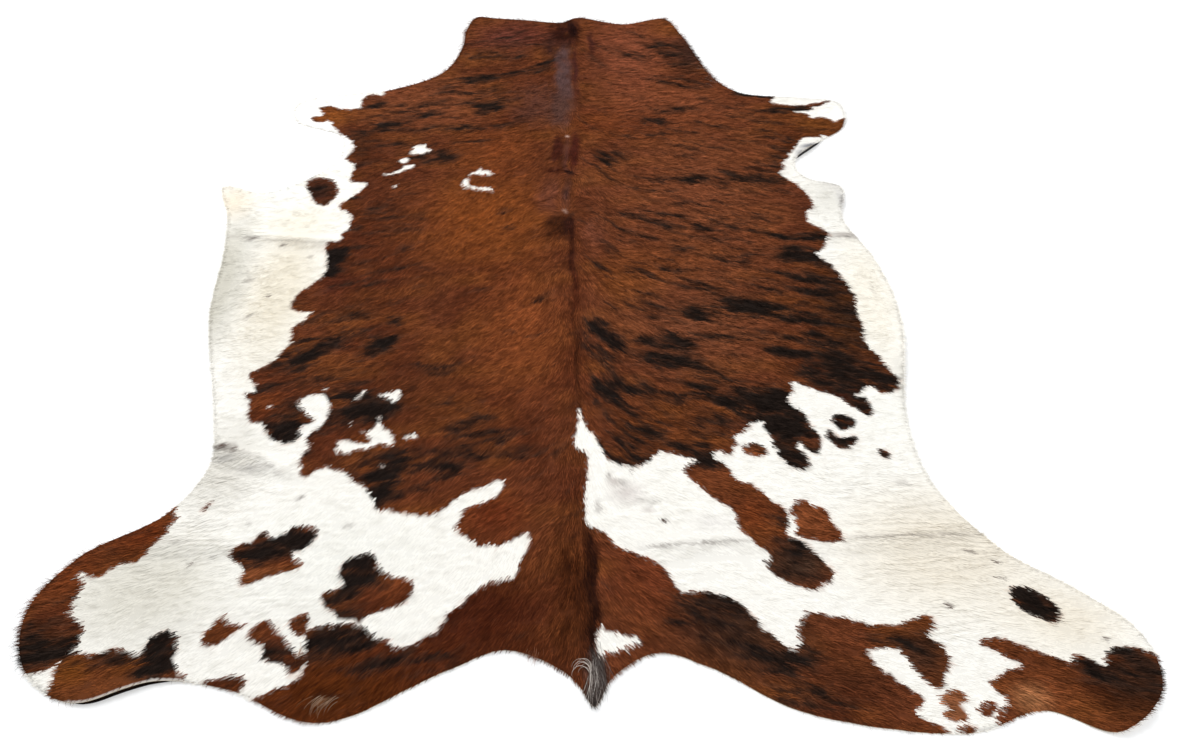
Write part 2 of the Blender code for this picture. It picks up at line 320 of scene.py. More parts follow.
# The hide's colours, which skin and hair share: a chestnut saddle with dark brindle streaks, and
# white legs and flanks with chestnut and black spots. Marks are placed in cm, and ragged.
SADDLE = (
    (-48, 118), (48, 118), (50, 72), (54, 66), (57, 63.5), (55.2, 61), (58, 59.5), (64, 58.7),
    (71.5, 60.6), (69.2, 58.6), (66, 57.6), (67, 56.8), (60.6, 55.4), (63.5, 54.6), (65.4, 53.6),
    (65.2, 52.2), (70, 52.6), (71.5, 50.6), (74.2, 51.8), (76, 46), (70, 43.6), (67.4, 44.6),
    (65.8, 45.8), (66.6, 44), (62, 43.6), (60, 42), (58, 38), (55, 33.5), (53.8, 30), (52.5, 28.2),
    (54.8, 25.8), (57, 22.5), (59, 19), (59, 15), (57.3, 11.5), (57, 9), (60.5, 5.5), (61.2, 2.8),
    (59, -0.5), (57, -3), (59.5, -6.5), (61.8, -12), (63, -17), (62.8, -22), (63, -28), (62.8, -32),
    (64.5, -35.5), (65.8, -38), (66.5, -40.5), (67.4, -43.9), (66.1, -45.8), (63.6, -46.3),
    (60.5, -44.5), (58.7, -45.8), (57, -45.9), (57.6, -47.5), (59.4, -47.2), (60.1, -49.8),
    (59.6, -52.2), (57.9, -51.2), (56, -49), (53.5, -46.8), (50.4, -45.4), (47.6, -43.7), (44.7, -42.4),
    (44, -45.8), (43.1, -48.4), (46, -52), (47, -55), (48.5, -58.5), (46.5, -61.8), (44, -58.8),
    (42.8, -59.8), (44.8, -63), (44, -65.4), (41.2, -64.7), (39, -62), (38.6, -60), (38, -57.2),
    (37, -54.4), (37.9, -52.9), (35.2, -53.3), (33.5, -54.8), (32.2, -56.2), (30.5, -56.9), (31, -58.3),
    (29.9, -59.5), (29.6, -61.4), (28.2, -61.4), (26.6, -60.3), (24.5, -62.5), (18.5, -61),
    (15.5, -60.2), (11, -63.7), (7, -63.4), (4.2, -61.6), (3.2, -58.4), (1.9, -55.6), (0.2, -53.4),
    (-0.3, -51), (-0.9, -49.3), (-1.5, -53.5), (-2.2, -57.3), (-1.5, -59), (0.2, -60), (0.8, -64),
    (0, -69.5), (-0.2, -76), (1, -79), (3, -118), (-52, -120), (-57, -110.5), (-52.5, -107.4),
    (-49, -105.4), (-48.6, -103), (-49, -99.5), (-48.8, -97), (-44, -96), (-40.5, -96.4),
    (-37.5, -98.4), (-32, -100.5), (-28, -98.5), (-24.6, -95), (-21.5, -91.3), (-17.5, -88.6),
    (-13.5, -87.6), (-12.3, -84), (-10.5, -80.3), (-11, -78.6), (-13.5, -79.2), (-17.5, -81),
    (-21.5, -79.8), (-24.4, -77), (-24, -74.2), (-22.2, -72.4), (-20, -71.6), (-17.8, -70.6),
    (-15.8, -68), (-16, -66.3), (-17.4, -66.5), (-19.6, -67.8), (-21.8, -68.5), (-24.4, -69.7),
    (-26.5, -71.7), (-28.4, -73.4), (-33, -73.8), (-36, -73), (-39.6, -72.5), (-41.3, -70.4),
    (-41.7, -68.6), (-43.8, -66.8), (-45.7, -65.8), (-46.3, -64.3), (-49.9, -63), (-51.6, -62.2),
    (-53.4, -63.6), (-55.1, -65), (-56, -63.8), (-56.4, -61.6), (-56.3, -59), (-55.2, -57.6),
    (-57.6, -55.6), (-60, -56.5), (-63.5, -55.2), (-65.5, -52.8), (-66.2, -51), (-68.5, -51.2),
    (-70, -47.8), (-69.8, -45.8), (-71.6, -43.3), (-69.4, -42.8), (-69.4, -41.4), (-71.4, -38),
    (-68.6, -35.6), (-66.5, -32.5), (-64.8, -29.5), (-64.8, -26.5), (-64, -23.5), (-61.7, -19.8),
    (-66, -18.7), (-66.8, -16.2), (-63.8, -11.2), (-60.8, -8), (-60.4, -2.1), (-61.7, 1), (-61.3, 3.6),
    (-58, 4), (-58.6, 6.3), (-57.3, 9.5), (-57, 13), (-58.6, 15.6), (-60.7, 17.6), (-59, 20.4),
    (-55.9, 23.8), (-55, 26.9), (-59.3, 28.1), (-59.5, 34.5), (-61.9, 37.3), (-60.3, 42), (-62.5, 46),
    (-66.3, 50.5), (-69, 54.2), (-73.4, 54.2), (-74.4, 56), (-71, 57.2), (-72.6, 59.8), (-70.6, 62),
    (-67.3, 60.2), (-61.3, 60), (-61.2, 64), (-59.2, 67.3), (-56, 66.5), (-54.8, 70), (-52, 76),
    (-48, 90),
)
MARKS = {
    "right hip": (
        (-1, -77), (2.5, -78), (6.2, -81.8), (11, -84), (15, -87.2), (16.8, -91), (21.5, -91),
        (26.5, -93.2), (29, -96.2), (30.4, -98.5), (33.2, -101.2), (34.6, -102.8), (36.8, -102.4),
        (37, -98.5), (39, -95.9), (45, -96.8), (50, -98.3), (54.5, -98.2), (58, -97.2), (60, -96.8),
        (61.2, -98), (58.3, -101), (60.8, -101.8), (61.8, -105), (60.3, -107.5), (59, -109.8),
        (57.3, -109.2), (55.3, -106), (54.7, -103.9), (51.5, -102.3), (48.3, -103), (48.6, -105),
        (53, -109.3), (55.5, -111.7), (53.7, -114.2), (58, -116.8), (50, -121), (-2, -121),
    ),
    "hip band": (
        (20.1, -65.2), (22.1, -63.2), (25.5, -62.3), (28.4, -64.5), (29.8, -67.6), (33, -68.5),
        (35, -71.2), (38.4, -75), (38.3, -77.3), (37.8, -80.3), (40.4, -81.4), (42.6, -84.6),
        (45.3, -87.6), (43.2, -90.4), (39, -91), (35, -88.4), (33, -86.2), (34.2, -84.6),
        (31.5, -81.5), (29.4, -78.8), (28.6, -74.6), (26, -72.5), (22.5, -69),
    ),
    "thigh spot": (
        (39.4, -74.6), (42.4, -72), (43.2, -73.4), (45.6, -74.4), (46.9, -78), (48.2, -81.4),
        (46.5, -82.1), (42.4, -81.4), (39.7, -79.8), (40.3, -78), (39.8, -76.2),
    ),
    "flank spot": ((51.8, -52.4), (53.7, -51.8), (55.8, -53.6), (54.7, -55.2), (52.2, -55.4)),
    "flank hook": ((50, -55.4), (52.5, -57.6), (55.4, -57.2), (55, -59), (52, -60.6), (49.8, -57.8)),
    "flank dot": ((59.7, -60.8), (61.3, -61.6), (60.6, -63.2), (59, -61.8)),
    "band dot": ((32.2, -59.8), (33.7, -58.8), (36.2, -59.6), (36.5, -61.4), (34.3, -61.8), (32.4, -61)),
    "shank oval": (
        (75.9, -92), (79.4, -91.7), (82.4, -94), (83.6, -97), (82.4, -98.6), (79, -97.9),
        (76.4, -95.4),
    ),
    "right leg": (
        (67.7, -102.2), (71.4, -101.3), (76, -103.4), (79.5, -105), (82, -105.9), (83.8, -104.8),
        (87.9, -106.6), (89, -105), (91, -103.4), (94.5, -103.6), (97.5, -105), (103, -108),
        (98, -122), (80, -121), (66.8, -117), (66.8, -115), (69.6, -112.2), (67.5, -109.2),
        (70.5, -107.5), (74.3, -106.4), (70.8, -104.4),
    ),
    "heel flecks": (
        (58.5, -111.8), (61.9, -110.2), (62.5, -111.8), (61.3, -112.8), (62.2, -115), (59.5, -115.3),
        (58.2, -114.3), (59.4, -113.2),
    ),
    "heel fleck": ((64.2, -114), (64.6, -112.8), (67, -112.5), (67.3, -113.5), (65.4, -114.6)),
    "rear strip": ((49, -116), (53.2, -115.4), (57.2, -116.6), (55, -118), (49, -118)),
    "rear fleck": ((60.1, -116.8), (61.4, -116.1), (63, -116.4), (61.6, -117.4)),
    "armpit oval": (
        (-70.6, 27.6), (-69, 28.9), (-66.5, 29), (-64.2, 27.7), (-62.4, 24), (-63.1, 19.4),
        (-64.8, 17.9), (-67, 18.9), (-68.8, 22.6),
    ),
    "left leg": (
        (-78.3, -73.6), (-79.2, -76), (-80.7, -79.6), (-83.2, -83), (-85.5, -83), (-89, -85.7),
        (-93, -84.2), (-91.3, -87.5), (-92.2, -91.5), (-91.5, -93.4), (-88.5, -95.4), (-88.9, -99),
        (-90.2, -101.4), (-95, -103.6), (-104, -100), (-106, -85), (-90, -70), (-80, -70),
    ),
    "left heel": (
        (-90.6, -104.2), (-90, -101), (-88.4, -100), (-85, -100.4), (-81, -99.5), (-77.2, -101),
        (-76, -98), (-73.6, -96.6), (-71.4, -98.2), (-71, -101.5), (-70, -103.6), (-68.3, -105.2),
        (-69, -110), (-88, -112),
    ),
    "hip cloud": (
        (-65.8, -82), (-64.8, -79.8), (-62.4, -79), (-60.8, -77), (-58.8, -78.4), (-54.2, -75.8),
        (-50.6, -77.6), (-51.4, -80), (-54.8, -81.8), (-52.8, -84.4), (-58.5, -86.4), (-62.9, -88.2),
        (-62.6, -84.6),
    ),
    "hip patch": (
        (-45.4, -86.2), (-44.4, -83.2), (-39.6, -82.6), (-38, -85.6), (-35.3, -86.8), (-31.9, -88.3),
        (-32.4, -91.8), (-37.5, -93.8), (-41, -95.4), (-46, -93.2), (-47.8, -90.2), (-44, -88.4),
    ),
    "hip dot": ((-52.4, -96), (-51.6, -94.4), (-50, -93.7), (-49, -95.5), (-50.2, -98)),
    "leg dot": (
        (-67.2, -98.6), (-65.9, -96), (-64.6, -94.2), (-62.6, -95.6), (-60.3, -95.8), (-62.3, -97.5),
        (-65, -99.3),
    ),
    "chain": (
        (-59.2, -97.3), (-57.1, -95.2), (-55, -96.4), (-52.6, -98.8), (-51, -100.8), (-48.4, -102.5),
        (-50.3, -104.9), (-52, -103), (-55.2, -102.2), (-56.4, -99.7),
    ),
    "rear dot": (
        (-64.7, -105.6), (-62.6, -105.6), (-60.5, -104.8), (-58.1, -106.2), (-59, -108), (-62, -107),
    ),
    "stifle fleck": ((-73.6, -71.6), (-72.6, -70.2), (-72.2, -70.7), (-73.1, -72.3)),
}
# White marks within the chestnut, placed in the same way.
WHITE_MARKS = {
    "pocket": (
        (-59.8, -45.8), (-58.6, -44.2), (-55, -43.8), (-53.2, -45.6), (-52.6, -49), (-53.7, -52),
        (-55.4, -54), (-57.2, -56), (-58.4, -54.6), (-58.4, -52.2), (-55.9, -50.8), (-58, -49.2),
    ),
    "star": (
        (-50.4, -56.5), (-48.4, -55.6), (-46, -56.6), (-43.8, -56.5), (-44.6, -55), (-45.8, -53.5),
        (-43.8, -53.5), (-42.8, -52), (-42.4, -49.4), (-41.3, -52), (-38.2, -55.8), (-38.4, -57.6),
        (-41.4, -57.4), (-43, -58.4), (-46.4, -58.7), (-47.4, -59.7), (-49.6, -58.8),
    ),
    "dash": (
        (-43.7, -44.6), (-41.8, -43.6), (-38.8, -43), (-38.4, -44.6), (-39.3, -46.6), (-41.4, -45.5),
    ),
    "curve": ((-48.3, -45.6), (-47.4, -43.6), (-45.6, -42.6), (-46.6, -44), (-47.6, -45.8)),
    "speck": ((-37.2, -55.7), (-34.8, -54.6), (-33.6, -55.5), (-35.4, -56.2)),
    "pocket fleck": ((-48.3, -52), (-48.1, -51), (-47.6, -51.4), (-47.8, -52.6)),
    "rib streak": ((-66.8, -47.8), (-66.2, -46.6), (-65, -45.8), (-65.4, -47.2)),
    "rib speck": ((-55.4, -42.4), (-54.4, -42), (-54.2, -42.6)),
    "flank speck": ((-40.8, -63.6), (-40.6, -61.6), (-40, -62.4)),
    "shoulder mark": (
        (-45.2, 38.4), (-44.7, 41), (-43.6, 42.8), (-41.2, 43), (-40.6, 41.4), (-39, 40.4),
        (-41, 39.3), (-43.2, 38.6),
    ),
    "shoulder fleck": ((-47.8, 35.3), (-47.2, 37.2), (-45.3, 37.4), (-44.9, 36), (-46.2, 34.6)),
    "shoulder streak": (
        (-51.6, 30.6), (-49.2, 31.1), (-47.1, 32.5), (-46.3, 33.9), (-43, 34.5), (-43.4, 33.2),
        (-45.7, 31.8), (-48.5, 30), (-50.8, 29.9),
    ),
    "rib cap": (
        (-29.2, 29.0), (-28.2, 30.8), (-26.8, 31.6), (-26, 33.2), (-25, 31.8), (-23.2, 31.2),
        (-22.2, 29.2), (-24.5, 28.9), (-27, 29.2),
    ),
    "rib hook": (
        (-29.8, 28.2), (-30.8, 26.8), (-30, 24.8), (-27.4, 23.2), (-25, 22.8), (-22, 22.2),
        (-22, 23.8), (-23.8, 24.6), (-26.5, 24.7), (-28.6, 25.8), (-28.2, 27.6),
    ),
    "rib fleck": ((-48.3, 25.8), (-47.2, 26.3), (-46.8, 25), (-47.8, 24.6)),
    "ham patch": (
        (1.6, -99), (2.4, -96.8), (3.6, -98.2), (5.4, -98.6), (6.8, -99.2), (8.4, -98.8), (9.6, -100.6),
        (7.6, -101.4), (6.2, -102.4), (4.3, -102.6), (1.6, -103.4),
    ),
}
# Dark brindle, with painted shadow of the fold on the right ribs among it: x, y, half length and half
# width in cm, droop away from the spine in degrees, and how thick the dark hair is. The first rows are
# broad clouds of streaks, the rest single streaks.
BRINDLE_CLOUDS = (
    (22, -48, 28, 17, 8, 0.72), (30, -20, 34, 24, 8, 0.6), (57, -20, 13, 32, 8, 0.88),
    (28, 7, 34, 18, 8, 0.54), (35, 25, 30, 9, 4, 0.62), (52, 30, 12, 16, 8, 0.6),
    (32, 84, 12, 16, 8, 0.45), (14, 86, 14, 18, 4, 0.4), (35, 50, 38, 18, 8, 0.48),
    (-45, 57, 22, 12, 8, 0.6), (-28, 66, 24, 15, 8, 0.56), (-20, 94, 18, 10, 4, 0.5),
    (-50, 40, 16, 11, 8, 0.46), (-48, 5, 14, 26, 20, 0.4), (-55, -30, 16, 16, 20, 0.62),
    (-54, -46, 16, 11, 20, 0.82), (-37, -63, 19, 9, 12, 0.6), (26, -97, 15, 9, 34, 0.8),
    (39, -86, 7, 6, 20, 0.7), (92, -107, 9, 7, 20, 0.8), (-42, -98, 13, 5, 20, 0.8),
    (-43, -87, 6, 6, 20, 0.85), (-59, -79.6, 10, 4, 12, 0.9), (-93, -99, 7, 5.4, 20, 0.84),
    (-73, -101, 6, 6, 20, 0.8), (58, 42, 10, 12, 8, 0.5),
)
BRINDLE_STREAKS_AND_FOLD_SHADE = (
    (15, 14, 4.5, 1.8, 5, 0.8), (19.5, 12, 3.6, 1.6, 8, 0.75), (4.5, 11, 3.2, 1, 14, 0.6),
    (32, 9, 6, 1, 3, 0.7), (15, 3.6, 5, 1.1, 3, 0.8), (7.5, 1.4, 3.2, 1.5, 50, 0.7),
    # The streaks at 46, 5 and 54, 3.8 in this row, and at 54, -2.6 in the next, are painted shadow of the
    # fold across the right ribs.
    (31, 7, 5, 1.2, 3, 0.6), (46, 5, 6, 1, 3, 0.8), (54, 3.8, 9, 1.4, 4, 1.3),
    (54, -2.6, 6, 2.6, 8, 1.1), (40, -3.4, 2.2, 1.8, 60, 0.75), (33, -5.6, 5, 1, 5, 0.65),
    (16, -8.4, 5, 1.3, 8, 0.85), (7, -6, 3, 1, 24, 0.5), (31, -12.3, 5, 1.8, 8, 0.75),
    (54, -11, 6, 2.6, 10, 0.9), (27, -16.8, 5, 1, 10, 0.75), (18, -18.4, 4, 0.9, 12, 0.75),
    (34, -18, 4.6, 1.8, 14, 1.1), (42, -20.6, 7, 2.4, 17, 1.35), (51, -23, 6, 2.4, 14, 1.25),
    (57, -24, 6, 2.4, 14, 1.0), (26, -22.4, 2.8, 1.9, 30, 1.2), (3.8, -25.6, 3.6, 2.6, 60, 1.2),
    (7.6, -29, 3.2, 2.8, 45, 1.15), (4.8, -32.6, 4.2, 1.8, 50, 1.0), (18.5, -29.6, 5.4, 2, 4, 1.25),
    (22.5, -31, 3.8, 1.8, 10, 1.15), (17, -35.3, 5.8, 1.9, 4, 1.1), (43.4, -33.4, 4, 1.5, 8, 1.1),
    (37, -35.2, 3.2, 1, 10, 0.7), (59, -41.4, 8.6, 2.8, 8, 1.35), (57, -37, 8, 3.4, 10, 1.2),
    (60.5, -13, 3, 6, 20, 0.9), (61.5, -22, 3, 6, 20, 0.95), (62.5, -31, 3, 4, 20, 1.0),
    (6, -44.5, 4.6, 2.8, 56, 1.2), (12.5, -43.6, 4.4, 1.3, 16, 1.1), (17, -45.2, 5, 1.6, 10, 0.8),
    (25.5, -43.6, 4.8, 2, 8, 1.2), (32.5, -46.4, 4.4, 2.4, 10, 1.15), (40, -47.6, 4.8, 3.8, 10, 1.3),
    (34.5, -50.2, 4.4, 2, 8, 0.95), (13, -54, 4.6, 1.5, 14, 0.85), (25, -55, 5.6, 1.9, 8, 0.9),
    (22.5, -58, 4.4, 1.4, 8, 1.0), (7.5, -58, 4.6, 2.8, 14, 0.95), (9.5, -61.6, 4, 1.8, 8, 1.1),
    (24, -61, 4.4, 1.5, 8, 1.1), (41, -54, 6, 4.4, 10, 1.5), (44.5, -58, 5, 4, 10, 1.2),
    (41, -61.5, 4, 3, 10, 1.1), (53, -53.5, 4, 3, 10, 1.2), (52.5, -58, 4, 3, 10, 1.1),
    (58.5, -48.5, 3, 4.5, 10, 1.1), (33, -56, 5, 1.6, 8, 0.7), (32, 26.4, 16, 2.6, 2, 0.82),
    (45, 27, 8, 2.4, 6, 0.9), (51.5, 25.6, 5, 1.6, 6, 0.85), (27, 28.4, 6, 1, 3, 0.6),
    (9, 37, 3.6, 3.6, 20, 0.8), (31, 38, 4.4, 1.6, 8, 0.55), (21, 53.4, 4, 1.7, 5, 0.85),
    (19.5, 96.4, 5, 1.6, 42, 0.85), (28, 89.5, 7, 3, 38, 0.85), (30, 72, 8.5, 2.6, 12, 0.75),
    (34, 83, 5, 4, 30, 0.6), (37, 72.6, 4.4, 1.5, 10, 0.7), (53, 65.4, 7, 1.4, 4, 1.1),
    (64.5, 57.6, 9, 1.1, 0, 1.05), (70.5, 59.6, 3, 0.8, -20, 1.3), (55, 56, 8, 1.2, 3, 0.7),
    (53, 35, 4, 4, 10, 0.65), (50, 47, 8, 2, 4, 0.45), (-27, 92.4, 7, 1.5, 8, 0.65),
    (-19, 77.6, 7, 1.7, 23, 0.95), (-7.4, 84, 7, 1.9, 55, 0.8), (-23, 86.6, 11, 0.9, 0, 0.6),
    (-9, 93, 2.6, 5, 0, 0.5), (-32, 73.6, 8.4, 1.6, 28, 0.85), (-44, 58.3, 8.4, 1.8, 5, 0.85),
    (-25, 61.2, 5, 1.7, 5, 1.0), (-34, 62.6, 8, 1, 5, 0.75), (-18, 64.6, 3, 1.6, 20, 0.6),
    (-14.5, 57.6, 3.4, 2, 30, 0.45), (-31.5, 51, 7.6, 1.3, 3, 1.0), (-27, 44.4, 5, 1, 4, 0.7),
    (-38.5, 38.2, 5.4, 2, 8, 0.8), (-53, 52.6, 6, 1.8, 10, 0.75), (-60, 48, 3.4, 2.4, 10, 0.7),
    (-58, 62.6, 4, 2.4, 10, 0.8), (-18.5, 15.8, 2.4, 1, 10, 0.6), (-18, 8.4, 2.4, 1, 10, 0.6),
    (-25.5, -12.6, 2.6, 1.3, 20, 0.75), (-43, -22.4, 1.6, 1.8, 60, 0.8),
    (-7.6, -15.6, 1.8, 1.6, 0, 0.4), (-52.5, -21, 6, 1.2, 14, 0.85), (-45.6, -29.4, 3.4, 2.3, 10, 1.15),
    (-54, -28.4, 8, 2.1, 18, 1.0), (-60.6, -33.6, 5, 2.8, 35, 1.1), (-59.4, -2.2, 3.6, 1.9, 68, 2.2),
    (-56.5, -10.6, 3.6, 1.4, 30, 0.8), (-31, -37.7, 4, 1.5, 6, 0.75), (-28, -45, 3, 1, 10, 0.55),
    (-22.5, -53, 4.8, 2.8, 10, 1.05), (-24, -49.6, 4, 1.2, 6, 0.75), (-17, -55, 4, 1.4, 8, 0.75),
    (-31, -59, 7, 1.0, 6, 0.5), (-32.5, -62.4, 8, 1.2, 7, 1.1), (-18, -59.4, 8, 1.3, 8, 0.7),
    (-12, -59, 7, 1.4, 6, 0.75), (-38.6, -61.2, 3, 1.6, 20, 1.0), (-33.4, -67.8, 7, 1.0, 19, 1.0),
    (-39.4, -65, 5.8, 2.6, 69, 1.6), (-61, -53.6, 3.4, 4, 30, 1.5), (-46, -46.8, 5.4, 3.6, 20, 1.2),
    (-43, -49.6, 3, 1.8, 20, 1.1), (-52, -43, 5, 2.2, 10, 0.95), (-58.5, -39.8, 5.6, 1.8, 14, 0.85),
    (-68, -41, 3.4, 1.8, 20, 0.85), (-66, -33, 3.4, 1.8, 36, 0.85), (-52.4, -48, 2.4, 3, 20, 0.9),
    (-66.4, -17, 3, 2, 20, 0.5), (-45, -97.4, 6, 1.9, 10, 1.15), (-37, -98.4, 4.4, 1.5, 10, 1.0),
    (-34, -103, 5.4, 2.2, 10, 0.95), (-28, -103.4, 4.4, 1.8, 10, 0.8), (24, -93.5, 8, 2.4, 34, 0.98),
    (30, -98, 4, 3.4, 45, 1.0), (34, -104, 4, 3, 30, 0.9), (21, -96, 5, 2.4, 34, 0.9),
    (36, -110, 6, 3, 20, 0.8), (37.8, -75.6, 2.2, 2.2, 60, 1.0), (41, -83, 4, 2, 30, 1.1),
    (36, -87, 5, 2, 20, 0.9), (55, -101.5, 6, 1.6, 10, 1.0), (93, -106, 6, 3, 20, 1.0),
    (86, -106.3, 3, 1.6, 10, 1.0), (79.5, -95, 5, 4.4, 45, 1.1), (-54, -78.4, 5, 2.4, -24, 1.3),
    (-61.5, -80.4, 4, 2, 20, 1.2), (-42, -85.4, 4, 3, 10, 1.25), (-44.4, -91, 4.4, 3, 10, 1.2),
    (-73.6, -99.4, 2.8, 4.4, 20, 1.3), (-93, -98.6, 6, 3.2, 20, 1.1), (-57, -102, 5, 3, 30, 0.9),
    (60, -61.8, 2, 2, 0, 0.8), (-80, -99.5, 5, 1.6, 10, 0.9), (-66.8, 24, 4, 6, 80, 0.9),
    (-98, -84, 5, 3, 30, 0.6),
)
# Soft washes of another brown, one of them painted sheen: x, y, half lengths in cm, colour, strength.
BROWN_WASHES_AND_SHEEN = (
    (-24, 12, 22, 26, "#86471f", 0.75), (-14, -25, 14, 28, "#834523", 0.7),
    (12, -12, 10, 12, "#85491f", 0.6), (22, -4, 16, 8, "#7d431f", 0.5),
    (20, 52, 26, 12, "#743619", 0.6), (26, 101, 8, 6, "#80471f", 0.7), (12, 92, 9, 14, "#753c26", 0.6),
    (-68, 56, 8, 6, "#8a4c20", 0.9), (66, 49, 9, 5, "#74411d", 0.9), (76, 49, 2.4, 5, "#2e1a0f", 0.8),
    (-22, 40, 14, 14, "#814220", 0.6), (43.5, -77, 6, 6, "#804627", 0.95),
    (25, -66, 6, 5, "#7b4225", 0.9), (34, -60, 4, 3, "#854a2a", 0.9), (32, -76, 5, 6, "#743a1c", 0.8),
    (-60, -86, 6, 3, "#80492a", 0.9), (-35, -90, 4, 4, "#7c4223", 0.95),
    (74, -112, 8, 4.6, "#84492a", 0.7), (60, -113, 5, 4, "#935c3c", 0.9),
    (-95, -84, 8, 8, "#70381b", 0.9), (-83, -77, 8, 6, "#6a3216", 0.9),
    (-88, -103, 5, 4, "#7c451b", 0.9), (-78, -102, 5, 4, "#6b3b1a", 0.8),
    (13, -88, 12, 11, "#6e371f", 0.8), (-44, -108, 16, 6, "#743617", 0.8),
    (-18, -74, 9, 8, "#6f341a", 0.7), (-66, -46, 4, 5, "#73391c", 0.6),
    (-52, 10, 12, 30, "#4f2514", 0.5), (-58, -12, 8, 10, "#55281a", 0.6),
    (57, 15, 9, 18, "#4c2419", 0.5), (57, 40, 8, 12, "#55280f", 0.5), (-57, 40, 7, 14, "#4a2310", 0.45),
    (25, -26, 28, 22, "#7d482f", 0.6), (-66.8, 23.5, 5, 7, "#3f2116", 1.0),
    (-45, 0, 14, 24, "#64321a", 0.4), (-24, -95, 18, 9, "#4d2311", 0.6),
    (-14, -104, 14, 6, "#522413", 0.5), (45, -108, 14, 6, "#4f2a18", 0.6),
    (-20, 97, 16, 12, "#6f392d", 0.7), (-42, 62, 24, 17, "#81482c", 0.75),
    (30, 62, 30, 16, "#7f452a", 0.65), (34, 86, 9, 14, "#45291f", 0.85),
    # The lighter brown at 17, 86 over the right side of the neck is painted sheen.
    (50, -38, 9, 5, "#55240f", 0.6), (17, 86, 17, 32, "#874a31", 0.8),
    (32, 22, 36, 48, "#82492e", 0.62), (57, -104, 6, 6, "#462a1c", 0.9),
    (39, -86, 8, 6, "#463226", 0.9), (27, -99, 16, 12, "#432a1c", 0.8),
    (-42, -108, 26, 11, "#55290f", 0.8), (60, -24, 9, 20, "#38200f", 0.7),
    (92, -110, 11, 9, "#3c2011", 0.95), (-38, -44, 14, 12, "#552c18", 0.6),
    (73.5, -112, 4.4, 3.6, "#a06a44", 0.8), (-20, -95, 24, 15, "#4c2211", 0.85),
    (-95, -99, 8, 6, "#3f2415", 0.8), (55, -46.5, 9, 4.5, "#3b1d12", 0.9),
)
# Strips along the spine, among them painted sheen and painted groove shade: x, y, half lengths in cm,
# colour, strength.
SPINE_WASHES_SHADE_AND_SHEEN = (
    # The mauve strips at -3.9, 74 and -5, 59 are painted sheen on the hair beside the spine.
    (-10, 62, 12, 14, "#62392b", 0.6), (-3.9, 74, 3.1, 28, "#593f3c", 0.9),
    (-5, 59, 5, 12, "#5a3b32", 0.7), (-0.4, 76, 1.2, 24, "#46211a", 0.7),
    (-3.4, 99, 6.2, 10, "#35170e", 1.0), (-0.4, 101.5, 2.4, 9, "#26100b", 0.8),
    (5, 93, 1.6, 9, "#4a241b", 0.7), (-8, 92, 3.4, 8, "#45261d", 0.7),
    (-5.2, 38.6, 2.5, 11, "#451e12", 0.95), (-3.0, 37, 1.2, 11, "#5a3328", 0.8),
    (-0.8, 39, 2, 11, "#4a1f14", 0.9), (-6.0, 30.5, 4.4, 0.7, "#371509", 0.9),
    (-2.0, 30, 1.8, 1.3, "#150806", 1.0), (-7, 20, 5, 10, "#74412d", 0.6),
    (-3, 21, 1.6, 9, "#54332a", 0.6), (-5, 8, 5.4, 6.4, "#40200f", 0.85),
    (-2.4, 8.6, 2, 6, "#2f150e", 0.9), (3.8, 5, 4, 7, "#74412d", 0.5),
    # The narrow dark lines at -0.4, 76 and from -2, -3 down to 0.4, -92 are where the hair parts on the
    # spine, darkened further with painted shade of the groove.
    (-2, -3, 1.0, 13, "#2b110a", 1.0), (-1.6, -16, 0.8, 15, "#36160c", 0.9),
    (-1.4, -20, 3, 34, "#5a2c18", 0.35), (-1.1, -33, 0.8, 15, "#43200f", 0.75),
    (-0.8, -50, 1.0, 20, "#4a2613", 0.55), (0.4, -92, 2.2, 20, "#1f0e09", 1.0),
    (-3, -90, 5, 20, "#48230f", 0.6), (1.4, -106, 2.6, 5, "#4b433f", 0.9),
    (0.9, -110.4, 3.4, 3.2, "#4b423e", 1.0), (-3.2, 45.8, 0.6, 0.8, "#c9a796", 1.0),
    (-3.3, 14.3, 0.6, 0.8, "#c9a796", 1.0),
)
